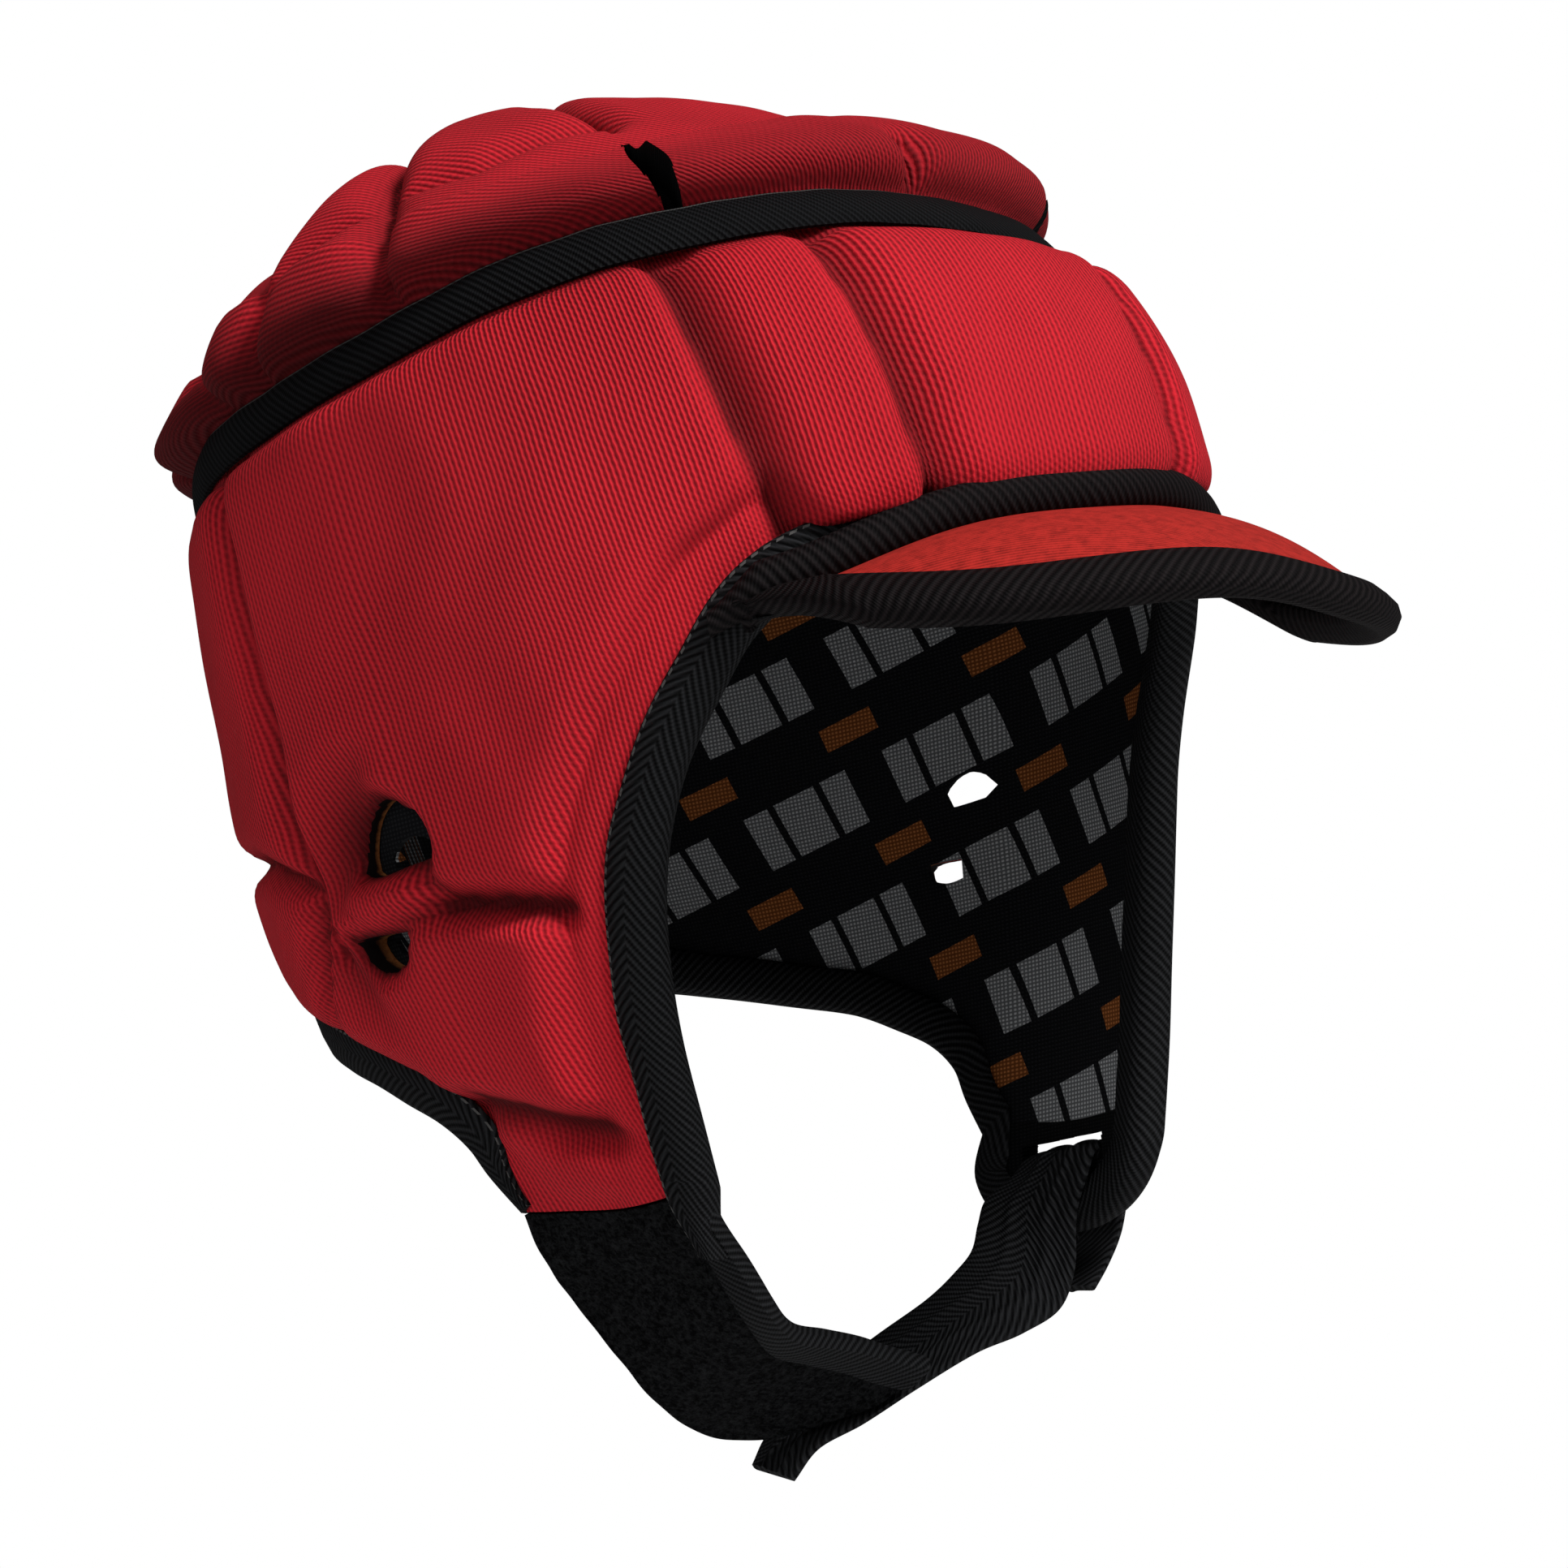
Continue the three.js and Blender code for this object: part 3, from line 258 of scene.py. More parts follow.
# Shares of the strap's width: two raised folds, and the thinner edges
STRAP_FOLDS = Sizes(at=(0.3, 0.68), width=0.05, height=0.5)
STRAP_RIM = Sizes(low=(0.04, 0.0), high=(0.96, 1.0), cut=0.5)
STRAP_EDGES = [
    ((-16.4, 6.2, -173.6), (-14.4, 18.6, -169.8)), ((-12.4, 2.1, -168.4), (-7.4, 20, -164.7)),
    ((-5.4, -3.8, -165.5), (2.6, 15.9, -157.2)), ((5.6, -9.4, -160.9), (15.6, 8.5, -150.1)),
    ((20.5, -12.9, -156.4), (28.5, 4.3, -144.7)), ((34, -13.9, -154.5), (35, 2.4, -141)),
    ((44, -15.8, -151.2), (40, 1, -137.5)), ((49, -17, -144.4), (45.5, 1.9, -132.4)),
    ((52.3, -18.5, -134.3), (50.3, 2, -128)), ((53.8, -23.5, -126.5), (55, -2.5, -124.6)),
    ((56, -25.8, -121.9), (58, -4.6, -121.9)), ((63.4, -25.8, -121.7), (66.2, -4.6, -121.7)),
    ((66.2, -25, -125.5), (68.6, -4, -125.5)), ((65.6, -21.5, -132), (67.8, -1, -131.7)),
    ((63.6, -18.5, -139), (65.3, 2, -138.5)), ((59, -17, -144.7), (60, 4, -142.7)),
    ((54.5, -16, -149), (53.5, 5, -145.7)),
]

# How the soft helmet has settled, as in the part's source: the flaps hang back, the right one is drawn in at
# its front, both less so below their tips, and the seam ring sits higher on the right
FLAPS = Sizes(back=4.5, side=(15, 60), level=(-12, -55))
DRAWN_IN = Sizes(back=6.0, side=(15, 50), level=(-10, -90), front=(0, -50))
BELOW_FLAPS = Sizes(cut=0.8, level=(-118, -150))
RING_LIFT = Sizes(
    turn=[-180, -150, -130, -112, -90, -68, -50, -37, -18, 0, 15, 40, 100, 180],
    by=[3, 7, 9, 8, 8.5, 9.5, 9, 7.5, 5.5, 2.5, 0, -1, 0, 3],
    below=(0, 36), above=(84, 48),
)

CAMERA = Sizes(azimuth=-45, elevation=-6.5, roll=-11, distance=1200, lens=140.87, sensor=36)
CAMERA_AIM = Sizes(right=15.6, up=-38.7)
FLOOR = Sizes(half_size=1.6, drop=0.35)
FLOOR_LOOK = {"Base Color": (0.93, 0.93, 0.93, 1), "Roughness": 0.9}
# The world's light on the helmet, and as the pale ground behind it
WORLD = Sizes(light=0.1, seen=1.0)
# Lights: place, size and power
LIGHTS = {"key": ((0.1, -1.6, 1.0), 0.5, 42), "fill": ((-1.7, -0.5, 0.5), 1.0, 10)}
LIGHT_AIM = (0, 0, -0.1)

# Cloth colours, from the lowest threads to the highest
TONES = {
    "red_knit": ((0.105, 0.002, 0.0045), (0.6, 0.0155, 0.027)),
    "visor_cloth": ((0.13, 0.005, 0.004), (0.42, 0.02, 0.015)),
    "foam": ((0.1, 0.03, 0.008), (0.3, 0.11, 0.035)),
    "loop_pile": ((0.0004, 0.0004, 0.0005), (0.0125, 0.013, 0.0138)),
    "black_cloth": ((0.0015, 0.0016, 0.0018), (0.008, 0.0082, 0.009)),
    "lining_cloth": ((0.004, 0.0042, 0.005), (0.012, 0.0125, 0.014)),
    "motif_grey": ((0.11, 0.113, 0.118), (0.4, 0.41, 0.42)),
    "motif_orange": ((0.13, 0.04, 0.01), (0.38, 0.13, 0.04)),
    "flat_tape": ((0.0008, 0.0009, 0.001), (0.008, 0.0084, 0.0095)),
    "twill_tape": ((0.0005, 0.0005, 0.0006), (0.017, 0.0175, 0.019)),
    "brown_tape": ((0.0015, 0.0012, 0.0014), (0.011, 0.0085, 0.009)),
    "webbing": ((0.0006, 0.0006, 0.0008), (0.017, 0.0175, 0.019)),
}
BLACK_TO_WHITE = ((0, 0, 0), (1, 1, 1))
# Dark colours that painted shade mixes in: on the knit, and on the foam of the vents
KNIT_SHADE = (0.03, 0.0008, 0.0016)
FOAM_SHADE = (0.003, 0.0015, 0.0015)
# Colour of the lighter line along some tapes
LINE_TONE = (0.07, 0.069, 0.067)
# Tapes: tones, pitch of the ribs, middle of the chevron, and a lighter line as its low edge, its high edge
# and the pitch of its stitches, or 0 for an unbroken line
TAPES = {
    "black_tape": ("flat_tape", 1.7, None, (7.7, 8.2, 0)),
    "chevron_tape": ("twill_tape", 2.0, 5.0, (0.9, 1.4, 2.2)),
    "piped_tape": ("twill_tape", 2.0, 5.0, (0.3, 1.2, 0)),
    "visor_tape": ("brown_tape", 2.2, None, None),
    "webbing": ("webbing", 2.0, 11.0, None),
}
TAPE_RIBS = Sizes(
    slope=1.1, wander=0.7, thread_slope=-0.8, thread_share=0.45, stitch_slope=0.6, stitch_gap=0.4,
)
# Knit: pitch and wander of its ribs, pitch and lean of its loops, and strength and power of its painted shade
KNIT = Sizes(pitch=1.1, wander=0.9, loop_pitch=1.25, loop_lean=0.55, shade=0.9, shade_power=1.4)
# Lining's motif: how it slants, half pitches of its rows, columns and blocks, and edges of its shapes
MOTIF = Sizes(
    slant=0.25, lean=-0.35, row=14.0, column=17.0, block=5.67, block_gap=0.8,
    bar_row=6.4, bar_column=4.5, dash_row=11.4, dash_column=6.0,
)


def unit(vectors):
    return vectors / np.linalg.norm(vectors, axis=-1, keepdims=True)


def paired(a, b):
    return np.stack(np.broadcast_arrays(a, b), -1)


def length_along(points):
    """Distance along a row of points from its first one."""
    return np.concatenate([[0], np.cumsum(np.linalg.norm(np.diff(points, axis=0), axis=-1))])


def signed_power(value, power):
    return np.sign(value) * np.abs(value) ** power


def table_value(column, depth):
    """Smooth value of a column of the taper table."""
    keys = np.array(TAPER["depth"], float)
    values = np.array(TAPER[column], float)
    slopes = np.gradient(values, keys)
    slopes[0] = 0
    i = np.clip(np.searchsorted(keys, depth) - 1, 0, len(keys) - 2)
    span = keys[i + 1] - keys[i]
    t = np.clip((depth - keys[i]) / span, 0, 1)
    bend = (t**3 - 2 * t**2 + t) * slopes[i] * span + (t**3 - t**2) * slopes[i + 1] * span
    return values[i] * (1 - 3 * t**2 + 2 * t**3) + values[i + 1] * (3 * t**2 - 2 * t**3) + bend


def on_head(turn, rise, out):
    """Points at a distance out from the head hollow."""
    turn, rise, out = np.broadcast_arrays(*(np.asarray(value, float) for value in (turn, rise, out)))
    up = np.clip(rise / HEAD.crown, 0, 1)
    narrow = (1 - up ** HEAD.dome_power) ** (1 / HEAD.dome_power)
    depth = np.maximum(-rise, 0)
    side = np.sin(np.radians(turn))
    ahead = np.cos(np.radians(turn))
    front = HEAD.front * table_value("front", depth)
    back = HEAD.back * table_value("back", depth)
    half_width = (HEAD.half_width * table_value("width", depth) + out) * narrow
    half_length = (np.where(ahead > 0, front, back) + out) * narrow
    power = 2 / HEAD.plan_power
    x = half_width * signed_power(side, power)
    y = HEAD.apex_shift * up ** HEAD.shift_power - half_length * signed_power(ahead, power)
    z = np.where(rise > 0, up * (HEAD.crown + out), rise)
    return np.stack([x, y, z], axis=-1)


def ring_rise(turn):
    return RING.height + RING.tilt * np.cos(np.radians(turn))


def curve_points(table, at):
    """Points on a smooth line through a table, counted from 0 to 1 along it."""
    points = np.array(table, float)
    last = len(points) - 1
    padded = np.vstack([2 * points[0] - points[1], points, 2 * points[-1] - points[-2]])
    place = np.clip(np.asarray(at, float), 0, 1) * last
    i = np.clip(np.floor(place).astype(int), 0, last - 1)
    t = (place - i)[..., None]
    p0, p1, p2, p3 = (padded[i + k] for k in range(4))
    gap = [np.linalg.norm(b - a, axis=-1, keepdims=True) ** 0.5 for a, b in ((p0, p1), (p1, p2), (p2, p3))]
    start = (p1 - p0) / gap[0] - (p2 - p0) / (gap[0] + gap[1]) + (p2 - p1) / gap[1]
    end = (p2 - p1) / gap[1] - (p3 - p1) / (gap[1] + gap[2]) + (p3 - p2) / gap[2]
    bend = (t**3 - 2 * t**2 + t) * start * gap[1] + (t**3 - t**2) * end * gap[1]
    return p1 * (1 - 3 * t**2 + 2 * t**3) + p2 * (3 * t**2 - 2 * t**3) + bend


def line_distance(points, line):
    """Least distance from points of a plane to a line of many pieces."""
    points = np.asarray(points, float)
    best = np.full(points.shape[:-1], np.inf)
    for a, b in zip(np.array(line[:-1], float), np.array(line[1:], float)):
        best = np.minimum(best, piece_distance(points, a, b)[0])
    return best


def piece_distance(points, a, b):
    """Distance to a straight piece of line, and whether a point is on its left."""
    ab = b - a
    reach = points - a
    t = np.clip((reach @ ab) / (ab @ ab), 0, 1)
    left = ab[0] * reach[..., 1] - ab[1] * reach[..., 0] > 0
    return np.linalg.norm(reach - t[..., None] * ab, axis=-1), left


def channel(points, line, behind, ahead):
    """1 on a sewn line, falling to 0 sharply behind it and softly ahead of it."""
    fall = np.zeros(points.shape[:-1])
    for a, b in zip(np.array(line[:-1], float), np.array(line[1:], float)):
        distance, left = piece_distance(points, a, b)
        sharp = 1 - roll(np.maximum(distance - FLAT_BOTTOM, 0), behind)
        soft = sharp if ahead == behind else (1 - smooth(distance, 0, ahead)) ** SOFT_FALL
        fall = np.maximum(fall, np.where(left, sharp, soft))
    return fall


def outline_distance(points, outline):
    """Distance to a closed outline, negative inside it."""
    ring = np.array(list(outline) + [outline[0]], float)
    inside = np.zeros(points.shape[:-1], bool)
    for (ax, ay), (bx, by) in zip(ring[:-1], ring[1:]):
        crosses = (ay > points[..., 1]) != (by > points[..., 1])
        rise = by - ay if by != ay else TINY
        inside ^= crosses & (points[..., 0] < ax + (points[..., 1] - ay) * (bx - ax) / rise)
    return np.where(inside, -1, 1) * line_distance(points, ring)


def cloth_plane(places):
    """Places of (turn, rise) in millimetres on the cloth."""
    return np.asarray(places, float) * [MM_PER_DEGREE, 1]


def roll(distance, reach):
    return np.sqrt(1 - (1 - np.clip(distance / reach, 0, 1)) ** 2)


def smooth(value, low, high):
    t = np.clip((value - low) / (high - low), 0, 1)
    return t * t * (3 - 2 * t)


def ripple(a, b):
    """Steady small unevenness between about -1 and 1."""
    return (np.sin(0.31 * a + 1.7 * np.sin(0.11 * b)) + np.sin(0.23 * b + 1.3 * np.sin(0.17 * a) + 2)) / 2


def closed_outline(table, count):
    """Smooth closed outline through a table of points."""
    ring = list(table) + [table[0]]
    return curve_points(ring, np.linspace(0, 1, count + 1))[:-1]


VENT_OUTLINES = [closed_outline(cloth_plane(vent[0]), VENT_POINTS) for vent in EAR_VENTS]


def lining_vent(outline, side, shares):
    """Outline of a vent in the lining, smaller than in the padding and level with its straight side."""
    low, high = outline.min(0), outline.max(0)
    base = [(low[0] + high[0]) / 2, low[1] if side > 0 else high[1]]
    return base + (outline - base) * shares


LINING_OUTLINES = [
    lining_vent(outline, side, shares) for outline, (_, side, _, shares) in zip(VENT_OUTLINES, EAR_VENTS)
]


def vent_fall(here, outline, side):
    """1 at a vent, sloping to 0 on the back and one other side, and ending in a rolled edge elsewhere."""
    distance = np.maximum(outline_distance(here, outline), 0)
    away = here - (outline.min(0) + outline.max(0)) / 2
    sloped = smooth(away[..., 0] + VENT_LIP.lean * side * away[..., 1], *VENT_LIP.back)
    slope = (1 - np.clip(distance / VENT_LIP.slope, 0, 1)) ** VENT_LIP.power
    return sloped * slope + (1 - sloped) * (1 - roll(distance, VENT_LIP.edge))


def wall_relief(turn, rise):
    """Thickness of the wall, and painted shade from 0 to 1, darker the deeper it is sewn in."""
    side = np.abs(turn)
    here = cloth_plane(paired(side, rise))
    face = line_distance(here, cloth_plane(FACE_EDGE))
    neck = line_distance(here, cloth_plane(NECK_EDGE)) - NECK_START
    tip = line_distance(here, cloth_plane(TIP_EDGE)) - TIP_START
    brow = smooth(side, *BROW.turn)
    pad_start = MARGIN.pad * (1 - brow) + MARGIN.brow_pad * brow
    below = ring_rise(side) - rise
    ring = below - RING_START
    swell = roll(np.minimum.reduce([face - pad_start, neck, tip, ring]), PAD_REACH)
    swell = swell * (1 - (1 - FLAP_END.share) * smooth(rise, *FLAP_END.level))
    width = pad_start - MARGIN.start + MARGIN.overlap
    margin = np.sin(np.pi * np.clip((face - MARGIN.start) / width, 0, 1))
    margin = margin * MARGIN.height * (1 - brow) * smooth(neck, *MARGIN.neck)
    dent = np.zeros_like(rise)
    for line, behind, ahead, depth in WALL_GROOVES:
        dent = np.maximum(dent, channel(here, cloth_plane(line), behind, ahead) * depth)
    vent = np.zeros_like(rise)
    for outline, (_, slope, depth, _) in zip(VENT_OUTLINES, EAR_VENTS):
        fall = vent_fall(here, outline, slope)
        vent = np.maximum(vent, fall)
        dent = np.maximum(dent, fall * depth)
    seam = RING_SEAM.depth * (1 - roll(np.abs(below - RING_SEAM.below), RING_SEAM.reach))
    thin = BACK_THIN.by * smooth(side, *BACK_THIN.turn)
    full = np.maximum((PAD - FLANGE - thin) * swell, margin)
    uneven = UNEVEN * ripple(here[..., 0], here[..., 1]) * swell
    thickness = FLANGE + np.maximum(full - np.maximum(dent, seam), DEEPEST) + uneven
    # Painted shade: under the ring tape, along the ring's seam, in the channels and at the vents
    under = WALL_SHADE.ring * (1 - roll(ring, WALL_SHADE.ring_reach))
    sewn = WALL_SHADE.seam * seam / RING_SEAM.depth
    painted_shade_and_unprinted = np.maximum.reduce([dent / (PAD - FLANGE), under, sewn, vent])
    return thickness, np.clip(painted_shade_and_unprinted, 0, 1)


def softened(values):
    """Values of a closed grid averaged a little with those beside, above and below them."""
    beside = (np.roll(values, 1, axis=1) + np.roll(values, -1, axis=1)) / 4 + values / 2
    padded = np.pad(beside, ((1, 1), (0, 0)), mode="edge")
    return (padded[:-2] + padded[2:]) / 4 + beside / 2


def crown_dent(here):
    dent = np.zeros(here.shape[:-1])
    for line, reach, depth in CROWN_GROOVES:
        dent = np.maximum(dent, (1 - roll(line_distance(here, line), reach)) * depth)
    return dent


def edge_places(table, rows):
    """Places along an edge table, with the direction in from the edge for a millimetre."""
    last = len(table) - 1
    at = np.asarray(rows, float)
    place = curve_points(table, at / last)
    ahead = curve_points(table, (at + NUDGE) / last) - curve_points(table, (at - NUDGE) / last)
    flat = unit(cloth_plane(ahead))
    return place, paired(-flat[..., 1] / MM_PER_DEGREE, flat[..., 0])


def wall_columns():
    """Ring turn and edge place of each column, once round from the back by the right side."""
    ring, edge = [], []
    for table, first, last, from_turn, to_turn, count in FAN:
        share = np.arange(count) / count
        ring.append(from_turn + (to_turn - from_turn) * share)
        edge.append(edge_places(table, first + (last - first) * share)[0])
    ring = np.concatenate(ring)
    edge = np.concatenate(edge)
    nape = np.array([180.0, NECK_EDGE[-1][1]])
    ring = np.concatenate([-ring[:0:-1], ring, [180.0]])
    edge = np.concatenate([edge[:0:-1] * [-1, 1], edge, [nape]])
    return ring, edge


def wall_grid():
    """Turns and rises of the wall's mesh, from the ring's seam to the edge."""
    ring, edge = wall_columns()
    t = np.linspace(0, 1, WALL_ROWS)[:, None]
    share = t - ROW_BUNCHING * np.sin(2 * np.pi * t) / (2 * np.pi)
    top = ring_rise(ring) + RING.seam
    turn = ring + (edge[:, 0] - ring) * share
    rise = top + (edge[:, 1] - top) * share
    return turn, rise


def punched(outer, inner, keep):
    """Vertices and faces of a body between two sheets, with walls round every hole and edge."""
    rows, columns = outer.shape[:2]
    inside = rows * columns
    number = np.arange(inside).reshape(rows, columns)
    right = np.roll(number, -1, axis=1)
    a, b, c, d = number[:-1], number[1:], right[1:], right[:-1]
    quads = [np.stack([a, b, c, d], -1)[keep], np.stack([a, d, c, b], -1)[keep] + inside]
    sheets = 2 * len(quads[0])
    above, below = np.pad(keep, ((1, 0), (0, 0))), np.pad(keep, ((0, 1), (0, 0)))
    left = np.roll(keep, 1, axis=1)
    for start, end, where in (
        (number, right, below & ~above), (right, number, above & ~below),
        (b, a, keep & ~left), (a, b, left & ~keep),
    ):
        s, e = start[where], end[where]
        quads.append(np.stack([s, e, e + inside, s + inside], -1))
    faces = np.concatenate(quads)
    points = np.concatenate([outer.reshape(-1, 3), inner.reshape(-1, 3)])
    row = faces[:, :2] // columns
    in_hole = (np.arange(len(faces)) >= sheets) & (row.max(1) > 0) & (row.min(1) < rows - 1)
    return points, faces, in_hole


def corners(cells):
    """Grid points at the corners of marked cells."""
    marked = np.zeros((cells.shape[0] + 1, cells.shape[1]), bool)
    for row in (0, 1):
        for column in (0, 1):
            marked[row : row + len(cells)] |= np.roll(cells, column, axis=1)
    return marked


def snapped(plane, outlines):
    """Cells outside the outlines, and plane points with those at a hole's edge moved on to it."""
    plane = plane.copy()
    keep = np.ones((plane.shape[0] - 1, plane.shape[1]), bool)
    for outline in outlines:
        distance = outline_distance(plane, outline)
        middle = (distance[:-1] + distance[1:]) / 2
        hole = (middle + np.roll(middle, -1, axis=1)) / 2 < 0
        keep &= ~hole
        rim = corners(hole) & corners(~hole)
        for _ in range(SNAP_ROUNDS):
            p = plane[rim]
            slope = paired(*(
                outline_distance(p + step, outline) - outline_distance(p - step, outline)
                for step in SNAP_STEPS
            ))
            slope = slope / np.maximum(np.linalg.norm(slope, axis=-1, keepdims=True), TINY)
            plane[rim] = p - slope * outline_distance(p, outline)[:, None]
    return plane, keep


def vented(turn, rise, outlines):
    """Turns and rises fitted to the vents of both sides, and the cells outside the vents."""
    plane, keep = snapped(cloth_plane(paired(turn, rise)), outlines + [line * [-1, 1] for line in outlines])
    return plane[..., 0] / MM_PER_DEGREE, plane[..., 1], keep


def settled(points):
    """Points moved as the soft helmet has settled."""
    x, y, z = points.T
    back = FLAPS.back * smooth(z, *FLAPS.level) * smooth(np.abs(x), *FLAPS.side)
    drawn = smooth(z, *DRAWN_IN.level) * smooth(-x, *DRAWN_IN.side) * smooth(y, *DRAWN_IN.front)
    lift = np.interp(np.degrees(np.arctan2(x, -y)), RING_LIFT.turn, RING_LIFT.by)
    lift = lift * smooth(z, *RING_LIFT.below) * smooth(z, *RING_LIFT.above)
    held = 1 - BELOW_FLAPS.cut * smooth(z, *BELOW_FLAPS.level)
    return np.stack([x, y + (back + DRAWN_IN.back * drawn) * held, z + lift], -1)


def linked(name, data):
    made = bpy.data.objects.new(name, data)
    bpy.context.scene.collection.objects.link(made)
    return made


def dress(made, node):
    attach(made, "root")
    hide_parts(node)
    return made


def grid_body(name, outer, inner, uv, material, closed=False, sharp=50, keep=None, hole=None, painted_shade_and_unprinted=None):
    """Mesh between two sheets in millimetres, with its cloth coordinates in millimetres as UVs.

    Hole is the material of its holes' walls, and the last argument is a value for each point of the outer
    sheet, kept as a mesh attribute: the share of painted shade, and on the lining the mark of its face
    without print.
    """
    rows, columns = outer.shape[:2]
    if keep is None:
        keep = np.ones((rows - 1, columns - (not closed)), bool)
    keep = np.pad(keep, ((0, 0), (0, columns - keep.shape[1])))
    points, faces, in_hole = punched(outer, inner, keep)
    used, faces = np.unique(faces, return_inverse=True)
    points = (settled(points)[used] - ORIGIN) * MM
    mesh = bpy.data.meshes.new(name)
    mesh.from_pydata(points.tolist(), [], faces.reshape(-1, 4).tolist())
    loops = np.empty(len(mesh.loops), np.int32)
    mesh.loops.foreach_get("vertex_index", loops)
    uv = np.tile(uv.reshape(-1, 2), (2, 1))[used]
    mesh.uv_layers.new(name="cloth").data.foreach_set("uv", uv[loops].astype(np.float32).ravel())
    mesh.polygons.foreach_set("use_smooth", np.ones(len(mesh.polygons), bool))
    mesh.set_sharp_from_angle(angle=math.radians(sharp))
    mesh.materials.append(material)
    if hole:
        mesh.materials.append(hole)
        mesh.polygons.foreach_set("material_index", in_hole.astype(np.int32))
    # Painted shade for each point of the outer sheet, kept as a mesh attribute; on the lining it marks the
    # face without print
    if painted_shade_and_unprinted is not None:
        marks = np.concatenate([painted_shade_and_unprinted.ravel(), np.zeros(painted_shade_and_unprinted.size)])[used]
        depth = mesh.attributes.new("painted_shade_and_unprinted", "FLOAT", "POINT")
        depth.data.foreach_set("value", marks.astype(np.float32))
    mesh.validate()
    return linked(name, mesh)


def knit_plane(turn, rise):
    """Cloth coordinates of the wall: across the ribs and along them."""
    lean = RIB_LEAN.share * smooth(np.abs(turn), *RIB_LEAN.turn)
    return paired(CLOTH_PER_DEGREE.knit * turn - np.sign(turn) * lean * rise, rise)


def make_shell(material, foam):
    turn, rise, keep = vented(*wall_grid(), VENT_OUTLINES)
    thickness, painted_shade_and_unprinted = wall_relief(turn, rise)
    outer = on_head(turn, rise, softened(thickness))
    brow = smooth(np.abs(turn), *BROW.turn) * smooth(rise, *BROW.below) * smooth(rise, *BROW.above)
    outer[..., 2] -= BROW.drop * brow * (1 - np.clip(wall_seams(turn, rise), 0, 1))
    inner = on_head(turn, rise, PAD_INSIDE)
    uv = knit_plane(turn, rise)
    made = grid_body("padded_shell", outer, inner, uv, material, True, PAD_SHARP, keep, foam, painted_shade_and_unprinted)
    return dress(made, "shell_pad")


def wall_seams(turn, rise):
    """1 on the forehead's channels, falling to 0 beside them."""
    here = cloth_plane(paired(np.abs(turn), rise))
    near = np.zeros_like(rise)
    for line, behind, _, _ in WALL_GROOVES[:2]:
        near = np.maximum(near, channel(here, cloth_plane(line), behind, behind))
    return near


def crown_grid(rows):
    """Turns and rises of the crown's mesh from the ring to the top."""
    turn = np.linspace(-180, 180, CROWN_COLUMNS, endpoint=False)[None, :]
    power = HEAD.dome_power / 2
    start = RING.seam + RING.gap
    begin = np.arccos(((ring_rise(turn) + start) / HEAD.crown) ** power)
    share = np.linspace(0, 1, rows)[:, None] ** CROWN_BUNCHING
    rise = HEAD.crown * np.cos(begin * (1 - share)) ** (1 / power)
    return np.broadcast_to(turn, rise.shape), rise


def slit_outline(line, widths):
    """Leaf-shaped outline round a line, with half widths along it."""
    at = np.linspace(0, 1, SLIT_POINTS)
    middle = curve_points(line, at)
    half = curve_points([[w] for w in widths], at)
    ahead = np.gradient(middle, axis=0)
    side = unit(paired(-ahead[:, 1], ahead[:, 0]))
    return np.concatenate([middle + side * half, (middle - side * half)[::-1]])


def make_crown(material, inside):
    turn, rise = crown_grid(CROWN_ROWS)
    flat = on_head(turn, rise, 0)
    plan = flat[..., :2] - [0, HEAD.apex_shift]
    here = paired(np.abs(plan[..., 0]), plan[..., 1])
    above = rise - ring_rise(turn) - RING.tape - RING.gap
    dent = crown_dent(here)
    lobe = np.clip(1 - dent / LOBE_DEPTH, 0, 1)
    edge = roll(above, CROWN_LIP.reach)
    level = np.interp(here[..., 1], CROWN_LEVEL.behind, CROWN_LEVEL.by)
    level = level * smooth(above, *CROWN_LEVEL.above)
    thick = FLANGE + np.maximum((CROWN_PAD + level - FLANGE) * edge - dent, 0)
    ahead = np.maximum(0, np.cos(np.radians(turn)))
    over = np.sin(np.pi * np.clip(above / CROWN_LIP.out_length, 0, 1))
    thick += (CROWN_LIP.out + CROWN_LIP.front_out * ahead) * over * lobe
    thick += UNEVEN * ripple(here[..., 0] * CROWN_RIPPLE, here[..., 1]) * lobe
    hang = CROWN_LIP.hang * lobe * np.sin(np.pi * np.clip(above / CROWN_LIP.length, 0, 1))
    outer = on_head(turn, rise, softened(thick))
    outer[..., 2] -= hang
    inner = on_head(turn, rise, PAD_INSIDE)
    outlines = [slit_outline(*slit) * [side, 1] for slit in CROWN_SLITS for side in (-1, 1)]
    moved, keep = snapped(plan, outlines)
    outer[..., :2] += moved - plan
    inner[..., :2] += moved - plan
    lateral = CROWN_CLOTH.radius * np.arctan2(flat[..., 0], flat[..., 2] + CROWN_CLOTH.drop)
    uv = paired(lateral, flat[..., 1])
    # Painted shade under the lobes just above the tape, lighter towards the front, and in the crown's grooves
    front = CROWN_SHADE.front
    under = smooth(above, *CROWN_SHADE.above) * (front + (1 - front) * (1 - ahead))
    painted_shade_and_unprinted = np.clip(np.maximum(dent / CROWN_SHADE.dent, under), 0, 1)
    made = grid_body("padded_crown", outer, inner, uv, material, True, PAD_SHARP, keep, inside, painted_shade_and_unprinted)
    return dress(made, "crown_pad")


def make_lining(name, node, turn, rise, uv, material, keep=None):
    """A lining sheet, its outer face marked in the painted-shade attribute so the motif stays inside."""
    outer, inner = on_head(turn, rise, LINING_OUTSIDE), on_head(turn, rise, 0)
    made = grid_body(name, outer, inner, uv, material, True, PAD_SHARP, keep, None, np.ones(turn.shape))
    dress(made, node)


